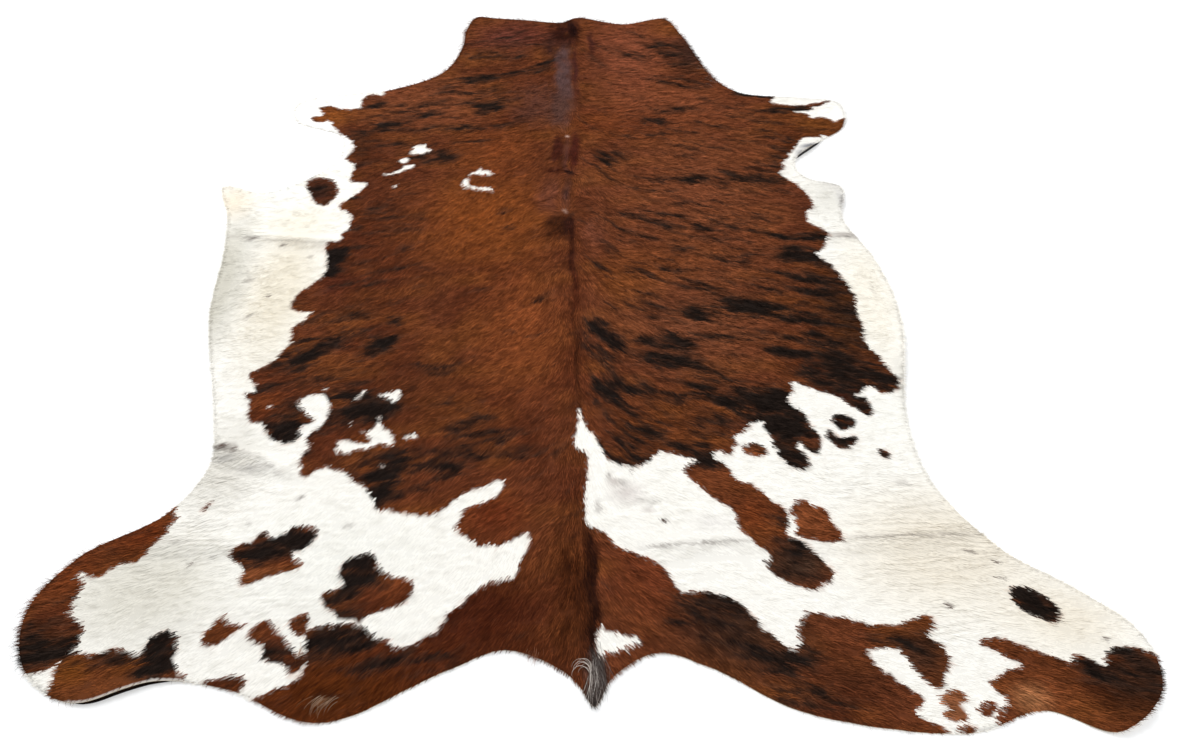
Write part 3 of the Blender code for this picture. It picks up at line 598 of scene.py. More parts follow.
# Creamy and grey stretches of the white hair, and painted shade along its folds and curled edges, with
# the same columns.
WHITE_WASHES_AND_SHADE = (
    # The grey band at -85, -10 along the left flank's outer side is painted shade.
    (-70, -12, 12, 34, "#e6decc", 0.85), (-85, -10, 9, 34, "#cbc7ba", 0.9),
    (-88, 20, 8, 9, "#ecdfc8", 0.55), (-70, 12, 14, 7, "#efe9d9", 0.6),
    (67, -18, 8, 28, "#f3eddf", 0.9), (64, 18, 8, 11, "#e2dfd6", 0.8),
    (67, -84, 26, 18, "#e8e0d0", 0.9), (84, -98, 16, 10, "#e8e0d0", 0.8),
    (-80, -88, 20, 15, "#dcd8cc", 0.9), (-72, -62, 10, 14, "#dedad0", 0.8),
    (8, -70, 5, 3.5, "#d2cac4", 0.6), (24, -77, 6, 3, "#e6e2dc", 0.6), (66, 24, 4, 5, "#d6d2cb", 0.6),
    (-78, 26, 7, 4, "#e6e7e2", 0.6), (70, -46, 5, 13, "#d9d5cb", 0.8), (71, -62, 5, 11, "#dbd7cc", 0.8),
    (12, -74, 1.6, 1.2, "#bfb6af", 0.5), (5.5, -67.5, 2, 1.4, "#c5bbb4", 0.5),
    (-46, -84, 26, 18, "#efede5", 0.8), (-68, 52, 16, 20, "#fbfaf6", 0.9),
    (62, -52, 8, 9, "#f4f2ea", 0.7), (72, 50, 10, 14, "#fbf9f3", 0.8),
    # These two grey washes are painted shadow inside the curled edge at the right armpit.
    (62.4, 39.2, 3.4, 2.0, "#8c8c90", 0.9), (59.6, 36, 2, 3, "#b4b2b1", 0.8),
    # In this row and the next, the grey washes at 65, 3.4 and from -77, -57.6 to -66, -62.6 are painted
    # shade along folds.
    (65, 3.4, 6, 1.8, "#c9c2ba", 0.8), (-77, -57.6, 5, 1.8, "#b4b0a8", 0.8),
    (-71.5, -60, 4, 1.6, "#bfbbb4", 0.7), (-66, -62.6, 4.4, 1.5, "#cfcbc4", 0.7),
    (67, 16, 1.6, 7, "#c4c2c0", 0.6),
)
# Small dark hairs and dirt in the white: x, y, half lengths in cm, droop, strength.
SMUDGES = (
    (-69.8, 29.5, 1.6, 2.2, 0, 0.45), (-80, 5.5, 2.2, 0.9, 10, 0.4), (-72, 3, 0.9, 0.7, 0, 0.6),
    (-65, -1, 0.9, 0.7, 0, 0.5), (-72.5, -14.5, 0.8, 1.0, 0, 0.6), (-78, -9, 1.6, 1.2, 30, 0.3),
    (-75.5, -21, 2.2, 0.9, 30, 0.3), (-72.8, -56.9, 2.0, 1.3, 0, 0.7), (-70.6, -57.5, 0.9, 1.8, 0, 0.7),
    (-55, -69.5, 1.2, 0.7, 45, 0.5), (-45, -76, 1.4, 0.9, 20, 0.3), (-64, -75, 0.8, 0.8, 0, 0.3),
    (-73, -83.5, 1.2, 0.7, 20, 0.5), (-69, -82, 0.8, 0.5, 0, 0.4), (-88, -75, 4, 0.8, 20, 0.25),
    (4.8, -66, 0.9, 1.6, 0, 0.35), (9.5, -65, 0.9, 0.5, -40, 0.7), (7, -67.5, 2.2, 1.4, 0, 0.25),
    (14.8, -76.3, 0.9, 0.5, -20, 1.0), (12.5, -72, 3.5, 1.6, 0, 0.12), (2.5, -73, 1.0, 2.4, 0, 0.3),
    (71, -84.3, 1.0, 0.5, 20, 0.9), (75.3, -86.4, 0.9, 0.5, 10, 1.3), (75, -89.8, 1.5, 0.35, 20, 1.0),
    (64.2, -95, 0.9, 1.0, 0, 1.0), (89.8, -101.8, 0.9, 0.6, 0, 0.7), (62, -69, 2.5, 1.2, 0, 0.2),
    (68, -15, 0.6, 3.0, 0, 0.2), (67, 16, 0.8, 4.0, 0, 0.35), (61.5, -30, 1.0, 0.6, 0, 0.4),
    (-97, -68, 1.0, 0.6, 0, 0.4), (53, -44.5, 1.4, 0.6, 20, 0.3),
)
# Painted shadow lines along the folds, where a fold has also parted the hair: x, y to x, y and bow in cm,
# strength.
CREASE_SHADOW_LINES = (
    (8.0, -82.2, 31.5, -81.1, 0.1, 0.55), (46.5, -80.9, 77.0, -80.4, -0.3, 0.45),
    (-76.5, -56.4, -68.0, -58.6, -0.2, 0.4), (-69.0, -58.2, -58.5, -65.5, 0.5, 0.3),
    (-88.0, 7.8, -60.0, 3.4, -1.0, 0.4), (59.0, 2.6, 69.5, 2.2, 0.2, 0.3),
    (-91.0, -80.6, -72.0, -79.0, 0.6, 0.25),
)
# The painted shadow along each fold line, with a softer painted shade beside it.
CREASE_SHADOW_WIDTH = 0.4  # half the width of the line, in cm
CREASE_SOFT_SHADE, CREASE_SOFT_SHADE_WIDTH = 0.25, 1.8  # the softer shade beside it, and how wide that is
CREASE_SHADOW_SWAY = 0.15  # how far the line wavers, in cm

# How ragged each kind of mark is at its edge, in cm.
SADDLE_RAG, SPOT_RAG, WHITE_RAG = 0.6, 0.35, 0.3
RAG_NOISE = ((0.55, 2.2, 11), (0.4, 0.9, 12), (0.3, 0.4, 13))
WHITE_CLOSES = 0.18  # how far the brown hair beside a white mark lies over its edge, in cm
DEPTH_REACH = 9.0  # how far in from a mark's edge its depth is followed, in cm
# How wide the full middle of a soft mark is. At 1 it fades from its very centre.
CLOUD_FULL = 1.8
STREAK_FULL = 1.35
BROWN_WASH_FULL = 1.5
SPINE_WASH_FULL = 1.8
WHITE_WASH_FULL = 1.6
SMUDGE_FULL = 1.5
SPINE_SWAY = 0.7  # how far the strips along the spine waver, in cm

# How far a brindle streak has fallen back by its distance from the spine, both in cm.
STREAK_FALL_AT = (0, 5, 10, 20, 40, 65, 100)
STREAK_FALL = (0, 6, 10.5, 15, 20, 26.5, 36)
STREAK_FALL_LEFT = 0.8  # how much of that the streaks on the left have fallen
BRINDLE_LOWER = 0.8  # how much lower the brindle lies than it was placed, in cm
STREAK_FADES = (2.1, 2.4)  # where a placed streak has faded out, in half lengths and half widths
STREAK_FRAY = (1.3, 0.7)  # how far its ends and sides are frayed, in cm
STREAK_SWAY = 1.5  # how far the fine streaks between waver lengthwise, in cm
LEVEL_NOISE = ((1.3, (9, 6), 14), (0.5, (3, 2), 15))  # and how far crosswise
STREAK_NOISE = (
    (0.75, (8, 2.0), 21), (0.6, (4.5, 0.9), 22), (0.5, (2.4, 0.5), 23), (0.4, (1.2, 0.3), 17),
)
FINE_GAIN, PLACED_GAIN = 0.68, 1.25  # how far fine streaks and placed marks each darken the coat
CLEAR_COAT = 0.44  # how much of that it takes before any shows
DARKEST = 1.3

CHESTNUT = "#6a3820"
CHESTNUT_PATCHES = (
    # colour, share of it everywhere, how much that varies, size of the patches in cm, seed
    ("#5e2f1a", 0.5, 0.7, 11, 24),
    ("#74401f", 0.3, 0.7, (7, 4), 25),
)
# Brindle colours, also used for the painted fold shadow on the right ribs; the black is also the heel's
# painted shadow ribbon.
BRINDLE_AND_SHADE_BROWN = "#41291d"
BRINDLE_AND_SHADOW_BLACK = "#1f1713"
BROWN_GAIN, BLACK_GAIN = 1.2, 1.5  # how fast each comes through as the brindle darkens
BLACK_FROM = 0.75  # how much of the black's gain it takes before any shows
WHITE_HAIR = "#f3f0e8"
WHITE_DIMMING = 0.92  # how much of its brightness the white coat keeps
# The colour of the smudges, and of the painted shadow along the folds.
SMUDGE_AND_SHADE = "#5c4a42"
RUSTY_EDGE = "#b37a58"
RUSTY_REACH = 0.5  # how far the rusty tinge runs into the white from a brown mark, in cm
RUSTY_SHARE, RUSTY_VARIES = 0.2, 0.3
CUT_LEATHER = "#efe8df"
BROWN_SKIN = 0.78  # how dark the skin is under brown hair, as a share of the hair's colour
WHITE_SKIN = 0.95


def linear(hex_colour):
    """A linear colour from an sRGB hex value."""
    parts = np.array([int(hex_colour[k : k + 2], 16) / 255 for k in (1, 3, 5)])
    return np.where(parts <= 0.04045, parts / 12.92, ((parts + 0.055) / 1.055) ** 2.4)


def blend(colour, other, share):
    """A colour with a share of another mixed in, at each point."""
    return colour + (other - colour) * np.clip(share, 0, 1)[:, None]


def softness(points, x, y, reach_x, reach_y, droop=0.0):
    """1 at a mark's centre and 0 at its rim, on a mark that droops away from the spine."""
    turn = math.radians(droop) * (-1 if x >= 0 else 1)
    dx, dy = points[:, 0] - x, points[:, 1] - y
    along = dx * math.cos(turn) + dy * math.sin(turn)
    across = dy * math.cos(turn) - dx * math.sin(turn)
    return np.clip(1 - np.hypot(along / reach_x, across / reach_y), 0, 1)


def marks_depth(points):
    """How far inside the chestnut each point is, in cm, negative in the white."""
    rag = layered(points, RAG_NOISE)
    depth = depth_inside(points, smooth_loop(SADDLE, 1.0), DEPTH_REACH) + SADDLE_RAG * rag
    for landmarks in MARKS.values():
        spot = depth_inside(points, smooth_loop(landmarks, 0.6), DEPTH_REACH)
        depth = np.maximum(depth, spot + SPOT_RAG * rag)
    for landmarks in WHITE_MARKS.values():
        mark = depth_inside(points, smooth_loop(landmarks, 0.4), DEPTH_REACH)
        depth = np.minimum(depth, WHITE_RAG * rag + WHITE_CLOSES - mark)
    return depth


def brindle_and_fold_shade(points):
    """How dark the brindle and the painted fold shadow are, 0 to 1: streaks that fall back as they run
    out from the spine.
    """
    points = points + np.array((0, BRINDLE_LOWER))
    side = np.abs(points[:, 0])
    fall = np.interp(side, STREAK_FALL_AT, STREAK_FALL)
    fall *= np.where(points[:, 0] < 0, STREAK_FALL_LEFT, 1.0)
    level = points[:, 1] + fall + layered(points, LEVEL_NOISE)
    run = np.column_stack((points[:, 0] + STREAK_SWAY * drift(points, (6, 3), 16), level))
    streaky = layered(run, STREAK_NOISE)
    fray = np.column_stack((drift(points, (3, 1.2), 34), drift(points, (3, 1.2), 35)))
    frayed = points + fray * STREAK_FRAY
    density = np.zeros(len(points))
    for x, y, reach_x, reach_y, droop, strength in BRINDLE_CLOUDS:
        cloud = softness(points, x, y, reach_x, reach_y, droop)
        density = np.maximum(density, strength * np.clip(CLOUD_FULL * cloud, 0, 1))
    for x, y, reach_x, reach_y, droop, strength in BRINDLE_STREAKS_AND_FOLD_SHADE:
        fades_x, fades_y = STREAK_FADES[0] * reach_x, STREAK_FADES[1] * reach_y
        streak = softness(frayed, x, y, fades_x, fades_y, droop)
        density = np.maximum(density, strength * np.clip(STREAK_FULL * streak, 0, 1))
    return np.clip(FINE_GAIN * streaky + PLACED_GAIN * density - CLEAR_COAT, 0, DARKEST)


def washed(colours, points, washes, full):
    """The colours with a table's soft washes laid over them."""
    for x, y, reach_x, reach_y, colour, strength in washes:
        share = strength * full * softness(points, x, y, reach_x, reach_y)
        colours = blend(colours, linear(colour), share)
    return colours


def coat_colour(points):
    """The coat's colour at points of the plan in cm, and how far inside the chestnut they are."""
    depth = marks_depth(points)
    chestnut = np.tile(linear(CHESTNUT), (len(points), 1))
    for colour, share, varies, size, seed in CHESTNUT_PATCHES:
        chestnut = blend(chestnut, linear(colour), share + varies * drift(points, size, seed))
    # The brown washes, among them the painted sheen on the neck.
    chestnut = washed(chestnut, points, BROWN_WASHES_AND_SHEEN, BROWN_WASH_FULL)
    # The brindle, with the painted fold shadow on the right ribs.
    dark = brindle_and_fold_shade(points)
    chestnut = blend(chestnut, linear(BRINDLE_AND_SHADE_BROWN), BROWN_GAIN * dark)
    chestnut = blend(chestnut, linear(BRINDLE_AND_SHADOW_BLACK), BLACK_GAIN * dark - BLACK_FROM)
    # The spine's strips, with their painted sheen and painted groove shade.
    swayed = points + np.outer(SPINE_SWAY * drift(points * (0, 1), 6, 36), (1, 0))
    uneven = SPINE_WASH_FULL * (1 + 0.6 * drift(points, (0.9, 2.6), 30))
    chestnut = washed(chestnut, swayed, SPINE_WASHES_SHADE_AND_SHEEN, uneven)

    white = np.tile(linear(WHITE_HAIR), (len(points), 1))
    # The white's washes, among them painted shade along folds and curled edges.
    white = washed(white, points, WHITE_WASHES_AND_SHADE, WHITE_WASH_FULL)
    uneven = SMUDGE_FULL * (1 + 0.6 * drift(points, 0.5, 27))
    for x, y, reach_x, reach_y, droop, strength in SMUDGES:
        smudge = softness(points, x, y, reach_x, reach_y, droop)
        white = blend(white, linear(SMUDGE_AND_SHADE), strength * uneven * smudge)
    broken = np.clip(0.85 + 0.4 * drift(points, 1.4, 28), 0, 1)
    sway = CREASE_SHADOW_SWAY * drift(points, 1.1, 29)
    # Painted shadow along the folds, in the smudge colour.
    for x0, y0, x1, y1, bow, strength in CREASE_SHADOW_LINES:
        along, across = fold_frame(points, x0, y0, x1, y1, bow)
        across = np.abs(across + sway)
        line = np.clip(1 - across / CREASE_SHADOW_WIDTH, 0, 1)
        line += CREASE_SOFT_SHADE * np.clip(1 - across / CREASE_SOFT_SHADE_WIDTH, 0, 1)
        white = blend(white, linear(SMUDGE_AND_SHADE), strength * broken * line * bump(along**3))
    white *= WHITE_DIMMING
    rusty = np.clip(1 + depth / RUSTY_REACH, 0, 1) * (RUSTY_SHARE + RUSTY_VARIES * drift(points, 0.4, 26))
    white = blend(white, linear(RUSTY_EDGE), rusty)
    return np.where((depth > 0)[:, None], chestnut, white), depth


def add_node(tree, kind, settings=None, inputs=None, links=None):
    """One node, with its settings, its sockets' values, and what its sockets are linked from."""
    node = tree.nodes.new(kind)
    for name, value in (settings or {}).items():
        setattr(node, name, value)
    for name, value in (inputs or {}).items():
        node.inputs[name].default_value = value
    for name, source in (links or {}).items():
        tree.links.new(source, node.inputs[name])
    return node


def new_material(name):
    """An empty material, with its node tree and its shader."""
    material = bpy.data.materials.new(name)
    material.use_nodes = True
    return material, material.node_tree, material.node_tree.nodes["Principled BSDF"]


# Skin under the hair: tanned grain leather with the hair's own pores. It is seen only between the
# locks and at the bare edge, so it takes the coat's colour, a little darker, and has no gloss.
PORE_SPACING = 2.381 * MM
skin, tree, shader = new_material("tanned_grain_under_hair")
coat = add_node(tree, "ShaderNodeAttribute", {"attribute_name": "coat"})
place = add_node(tree, "ShaderNodeTexCoord")
pores = add_node(tree, "ShaderNodeTexNoise", None, {"Scale": 1 / PORE_SPACING, "Detail": 3.0},
                 {"Vector": place.outputs["Object"]})
grain = add_node(tree, "ShaderNodeBump", None, {"Strength": 0.35, "Distance": 0.0006},
                 {"Height": pores.outputs["Fac"]})
tree.links.new(coat.outputs["Color"], shader.inputs["Base Color"])
tree.links.new(grain.outputs["Normal"], shader.inputs["Normal"])
shader.inputs["Roughness"].default_value = 0.8
shader.inputs["Specular IOR Level"].default_value = 0.05

# The flesh side: buffed suede, undyed. Its nap is soft and quite matt, and lies in cloudy scuffs.
NAP_SPACING = 1.111 * MM
SCUFF_WIDTH = 111 * MM
suede, tree, shader = new_material("buffed_suede_flesh_side")
place = add_node(tree, "ShaderNodeTexCoord")
clouds = add_node(tree, "ShaderNodeTexNoise", None,
                  {"Scale": 1 / SCUFF_WIDTH, "Detail": 6.0, "Roughness": 0.6},
                  {"Vector": place.outputs["Object"]})
nap = add_node(tree, "ShaderNodeTexNoise", None, {"Scale": 1 / NAP_SPACING, "Detail": 2.0},
               {"Vector": place.outputs["Object"]})
tones = add_node(tree, "ShaderNodeValToRGB", None, None, {"Fac": clouds.outputs["Fac"]})
tones.color_ramp.elements[0].position = 0.35
tones.color_ramp.elements[1].position = 0.68
tones.color_ramp.elements[0].color = (*linear("#b9a688"), 1)
tones.color_ramp.elements[1].color = (*linear("#d8cbb2"), 1)
fuzz = add_node(tree, "ShaderNodeBump", None, {"Strength": 0.5, "Distance": 0.0005},
                {"Height": nap.outputs["Fac"]})
tree.links.new(tones.outputs["Color"], shader.inputs["Base Color"])
tree.links.new(fuzz.outputs["Normal"], shader.inputs["Normal"])
shader.inputs["Roughness"].default_value = 0.95
shader.inputs["Sheen Weight"].default_value = 0.25

leather.data.materials.append(skin)
leather.data.materials.append(suede)
face_slots = np.ones(len(leather.data.polygons), np.int32)
face_slots[: len(top_faces)] = 0
leather.data.polygons.foreach_set("material_index", face_slots)
coat_layer = leather.data.color_attributes.new("coat", "FLOAT_COLOR", "POINT")
skin_colours = np.ones((len(leather_points), 4), np.float32)
skin_colours[: len(top), :3], skin_depth = coat_colour(top / CM)
skin_colours[: len(top), :3] *= np.where(skin_depth > 0, BROWN_SKIN, WHITE_SKIN)[:, None]
skin_colours[: len(cut_edge)][bare, :3] = linear(CUT_LEATHER)
coat_layer.data.foreach_set("color", skin_colours.ravel())
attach(leather, "root")
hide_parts("hide")

# ---------------------------------------------------------------------------------------------
# The hair. Short, fine and glossy, 10 to 24 mm long, grown from the skin and lying flat along the
# animal's growth: out from the spine and back to the tail. It is laid in locks of many hairs.
# ---------------------------------------------------------------------------------------------
# A lock's sizes, which stand for many hairs each, as single hairs would be too fine to draw.
LOCKS_PER_CM2 = 8.5
LOCK_LENGTH = 16 * MM
LOCK_WIDTH = 1.6 * MM
LOCK_LENGTHS = (0.75, 1.2)  # the shortest and longest locks, as shares of the length
LOCK_WIDTHS = (0.7, 1.3)
LOCK_SUNK = 0.2 * MM  # how far under the skin a lock starts
LOCK_COLOURED_AT = 0.55  # how far out along a lock its colour is taken, as a share of its length
LOCK_COLOUR_SHIFTS = (0.4, 0.2)  # how much that place shifts by clump and by lock, in cm
DARKEST_HAIR, PALEST_HAIR = 0.003, 0.96
WHITE_WIDER = 1.45  # the white hair lies smoother, so that its locks are drawn broader
RIM_SHORTER = 0.55  # the hair at the cut edge is this share as long
RIM_REACH = 2.2  # cm in from the edge over which it shortens
CLUMP_HEIGHT = 0.8 * MM  # how much the locks ride up where they gather
# Places where the hair is shorter or longer: x, y, half lengths in cm, factor.
LENGTHS = (
    (-2.5, 75, 4, 28, 0.55), (-3, 42, 5, 8, 0.7), (-3, 12, 4, 6, 0.7),
    (32, 82, 12, 16, 1.35), (-40, -104, 18, 9, 1.2), (0, -104, 12, 8, 1.2),
    (88, -110, 14, 9, 1.2), (-94, -92, 9, 14, 1.2), (66, -84, 20, 12, 0.8),
    (-77, -106, 12, 3, 0.4),
)
# Fine wrinkles where the belly skin is loose, which the hair rides over: x, y, half lengths in cm,
# turn from straight across in degrees, pitch and height in mm.
WRINKLES = (
    (66, -84, 26, 17, 2, 14, 1.5), (-76, -80, 18, 13, 10, 13, 1.2), (-70, -64, 13, 10, -20, 12, 0.9),
    (54, -68, 18, 10, -4, 17, 0.9), (64, -98, 13, 6, 0, 12, 0.9), (-58, -92, 16, 9, 8, 13, 0.6),
    (16, -74, 14, 8, 0, 18, 0.5), (-74, -16, 11, 26, 62, 17, 0.7), (67, -20, 8, 24, -70, 16, 0.5),
)
CLUMP_SIZE = (3.2, 0.75)  # how long along the hair and how wide across it the locks gather, in cm
FINE_CLUMP_SIZE = (1.6, 0.35)
TUFT_SIZE = (1.7, 0.8)  # the same for the tufts that lean together, across the hide and along it
TUFT_TILT = 0.26  # how far the tufts lean to one side or another, as a slope
WHITE_UNRULY = 0.2  # how far the white hair gathers, leans and arches, as a share of the brown
# How much a lock's brightness varies by itself, with its clump and with its finer clump.
BROWN_TONES = (0.26, 0.36, 0.4)
WHITE_TONES = (0.01, 0.03, 0.03)
BARE_EDGE_CLEAR = 4 * MM  # how far behind the bare cut edge the nearest locks are rooted
SHOULDER_Y, LOIN_Y = 28, -45  # where one piece of hair ends and the next begins, in cm
WHOLE = 125  # past the hide's ends all round, in cm
HAIR_PIECES = (
    # name, whether it is the white hair, then the stretch that it covers in cm: x0, y0, x1, y1
    ("brown_hair_fore_left", False, -WHOLE, SHOULDER_Y, PARTING, WHOLE),
    ("brown_hair_fore_right", False, PARTING, SHOULDER_Y, WHOLE, WHOLE),
    ("brown_hair_ribs_left", False, -WHOLE, LOIN_Y, PARTING, SHOULDER_Y),
    ("brown_hair_ribs_right", False, PARTING, LOIN_Y, WHOLE, SHOULDER_Y),
    ("brown_hair_rump", False, -WHOLE, -WHOLE, WHOLE, LOIN_Y),
    ("white_hair_left", True, -WHOLE, -WHOLE, PARTING, WHOLE),
    ("white_hair_right", True, PARTING, -WHOLE, WHOLE, WHOLE),
)


# One tree lays a lock on each root: a tapered blade of three triangles, arched along the hair.
# Each root carries the way its hair lies, the skin's upright, its size and how unruly it is.
lay_locks = bpy.data.node_groups.new("lay_locks", "GeometryNodeTree")
sockets = lay_locks.interface
sockets.new_socket("Roots", in_out="INPUT", socket_type="NodeSocketGeometry")
for name, kind in (("Arch", "Float"), ("Lift Angle", "Float"), ("Lift Jitter", "Float"),
                   ("Yaw Jitter", "Float"), ("Roll Jitter", "Float"), ("Lowest", "Float"),
                   ("Seed", "Int"), ("Material", "Material")):
    sockets.new_socket(name, in_out="INPUT", socket_type="NodeSocket" + kind)
sockets.new_socket("Locks", in_out="OUTPUT", socket_type="NodeSocketGeometry")
given = add_node(lay_locks, "NodeGroupInput").outputs
blade = add_node(lay_locks, "GeometryNodeMeshGrid", None,
                 {"Size X": 1.0, "Size Y": 1.0, "Vertices X": 3, "Vertices Y": 2})
corner = add_node(lay_locks, "ShaderNodeSeparateXYZ", None, None,
                  {0: add_node(lay_locks, "GeometryNodeInputPosition").outputs[0]})
along = add_node(lay_locks, "ShaderNodeMath", {"operation": "ADD"}, {1: 0.5}, {0: corner.outputs["X"]})
to_tip = add_node(lay_locks, "ShaderNodeMath", {"operation": "SUBTRACT"}, {0: 1.0},
                  {1: along.outputs[0]})
fuller = add_node(lay_locks, "ShaderNodeMath", {"operation": "POWER"}, {1: 0.55}, {0: to_tip.outputs[0]})
across = add_node(lay_locks, "ShaderNodeMath", {"operation": "MULTIPLY"}, None,
                  {0: corner.outputs["Y"], 1: fuller.outputs[0]})
hump = add_node(lay_locks, "ShaderNodeMath", {"operation": "MULTIPLY"}, None,
                {0: along.outputs[0], 1: to_tip.outputs[0]})
rise = add_node(lay_locks, "ShaderNodeMath", {"operation": "MULTIPLY"}, None,
                {0: hump.outputs[0], 1: given["Arch"]})
shaped = add_node(lay_locks, "ShaderNodeCombineXYZ", None, None,
                  {0: along.outputs[0], 1: across.outputs[0], 2: rise.outputs[0]})
drawn = add_node(lay_locks, "GeometryNodeSetPosition", None, None,
                 {"Geometry": blade.outputs["Mesh"], "Position": shaped.outputs[0]})
pointed = add_node(lay_locks, "GeometryNodeMergeByDistance", None, {"Distance": 0.001},
                   {"Geometry": drawn.outputs[0]})
toned = add_node(lay_locks, "GeometryNodeStoreNamedAttribute", {"data_type": "FLOAT", "domain": "POINT"},
                 {"Name": "to_tip"}, {"Geometry": pointed.outputs[0], "Value": along.outputs[0]})


root_size = add_node(lay_locks, "GeometryNodeInputNamedAttribute", {"data_type": "FLOAT_VECTOR"},
                     {"Name": "size"})
root_unruly = add_node(lay_locks, "GeometryNodeInputNamedAttribute", {"data_type": "FLOAT"},
                       {"Name": "unruly"})


def turned_along_hair(tree):
    """The rotation that points X the way the hair lies and Z away from the skin."""
    lie = add_node(tree, "GeometryNodeInputNamedAttribute", {"data_type": "FLOAT_VECTOR"},
                   {"Name": "heading"})
    up = add_node(tree, "GeometryNodeInputNamedAttribute", {"data_type": "FLOAT_VECTOR"}, {"Name": "up"})
    turned = add_node(tree, "FunctionNodeAlignRotationToVector", {"axis": "X"}, None,
                      {"Vector": lie.outputs[0]})
    upright = add_node(tree, "FunctionNodeAlignRotationToVector", {"axis": "Z", "pivot_axis": "X"}, None,
                       {"Rotation": turned.outputs[0], "Vector": up.outputs[0]})
    return upright.outputs[0]


def jitter(source, offset):
    """A random angle for each lock, up to the given one either way on the most unruly hair."""
    seed = add_node(lay_locks, "ShaderNodeMath", {"operation": "ADD"}, {1: offset}, {0: given["Seed"]})
    high = add_node(lay_locks, "ShaderNodeMath", {"operation": "MULTIPLY"}, None,
                    {0: source, 1: root_unruly.outputs[0]})
    low = add_node(lay_locks, "ShaderNodeMath", {"operation": "MULTIPLY"}, {1: -1.0},
                   {0: high.outputs[0]})
    return add_node(lay_locks, "FunctionNodeRandomValue", {"data_type": "FLOAT"}, None,
                    {2: low.outputs[0], 3: high.outputs[0], "Seed": seed.outputs[0]}).outputs[1]


def kept_off_floor(tree, geometry, lowest):
    """The geometry with no point under the lowest height."""
    place = add_node(tree, "ShaderNodeSeparateXYZ", None, None,
                     {0: add_node(tree, "GeometryNodeInputPosition").outputs[0]})
    height = add_node(tree, "ShaderNodeMath", {"operation": "MAXIMUM"}, None,
                      {0: place.outputs["Z"], 1: lowest})
    raised = add_node(tree, "ShaderNodeCombineXYZ", None, None,
                      {0: place.outputs["X"], 1: place.outputs["Y"], 2: height.outputs[0]})
    return add_node(tree, "GeometryNodeSetPosition", None, None,
                    {"Geometry": geometry, "Position": raised.outputs[0]}).outputs[0]


lift_angle = add_node(lay_locks, "ShaderNodeMath", {"operation": "MULTIPLY"}, None,
                      {0: given["Lift Angle"], 1: root_unruly.outputs[0]})
lift = add_node(lay_locks, "ShaderNodeMath", {"operation": "SUBTRACT"}, None,
                {0: jitter(given["Lift Jitter"], 1), 1: lift_angle.outputs[0]})
tumble = add_node(lay_locks, "ShaderNodeCombineXYZ", None, None,
                  {0: jitter(given["Roll Jitter"], 2), 1: lift.outputs[0],
                   2: jitter(given["Yaw Jitter"], 3)})
turned = add_node(lay_locks, "FunctionNodeRotateRotation", {"rotation_space": "LOCAL"}, None,
                  {0: turned_along_hair(lay_locks), 1: tumble.outputs[0]})
laid = add_node(lay_locks, "GeometryNodeInstanceOnPoints", None, None,
                {"Points": given["Roots"], "Instance": toned.outputs[0], "Rotation": turned.outputs[0],
                 "Scale": root_size.outputs[0]})
whole = add_node(lay_locks, "GeometryNodeRealizeInstances", None, None, {0: laid.outputs[0]})
coated = add_node(lay_locks, "GeometryNodeSetMaterial", None, None,
                  {"Geometry": kept_off_floor(lay_locks, whole.outputs[0], given["Lowest"]),
                   "Material": given["Material"]})
add_node(lay_locks, "NodeGroupOutput", None, None, {0: coated.outputs[0]})

# Short cow hair: fine, smooth and lying close. Each blade stands for many hairs whose gloss is
# scattered, so the shader is nearly matt. A lock is darker at its root, where its neighbours shade
# it, and a brown one more so than a white one, which light shines through.
hair, tree, shader = new_material("short_glossy_cow_hair")
coat = add_node(tree, "ShaderNodeAttribute", {"attribute_name": "coat"})
tip = add_node(tree, "ShaderNodeAttribute", {"attribute_name": "to_tip"})
paleness = add_node(tree, "ShaderNodeRGBToBW", None, None, {0: coat.outputs["Color"]})
root_shade = add_node(tree, "ShaderNodeMapRange", None,
                      {"From Max": 0.6, "To Min": 0.66, "To Max": 0.97}, {"Value": paleness.outputs[0]})
shade = add_node(tree, "ShaderNodeMapRange", None, {"To Max": 1.08},
                 {"Value": tip.outputs["Fac"], "To Min": root_shade.outputs[0]})
tinted = add_node(tree, "ShaderNodeMix", {"data_type": "RGBA", "blend_type": "MULTIPLY"},
                  {"Factor": 1.0}, {6: coat.outputs["Color"], 7: shade.outputs[0]})
tree.links.new(tinted.outputs[2], shader.inputs["Base Color"])
shader.inputs["Roughness"].default_value = 0.7
shader.inputs["Specular IOR Level"].default_value = 0.02


def combed_drift(points, headings, size, seed):
    """Smooth noise drawn out along the hair, from about -1 to 1; everything in cm."""
    length, width = size
    offsets = np.linspace(-0.5, 0.5, 5) * length
    combed = sum(drift(points + headings * offset, width, seed) for offset in offsets)
    return 1.6 * combed / len(offsets)


def wrinkled(points):
    """Height of the hair's footing over the floor, with the skin's fine wrinkles, in metres."""
    lift = relief(points)
    for x, y, reach_x, reach_y, turn, pitch, height in WRINKLES:
        offset = points / CM - np.array((x, y))
        away = np.hypot(offset[:, 0] / reach_x, offset[:, 1] / reach_y)
        turn = math.radians(turn)
        across = offset[:, 1] * math.cos(turn) - offset[:, 0] * math.sin(turn)
        waver = layered(offset, ((0.9, (9, 3), 5), (0.4, (3, 2), 6)))
        fold = np.abs(np.sin(math.pi * (across * CM / (pitch * MM) + waver))) ** 0.7
        lift += height * MM * bump(away) * fold * (0.6 + 0.4 * drift(offset, (6, 2), 8))
    return lift


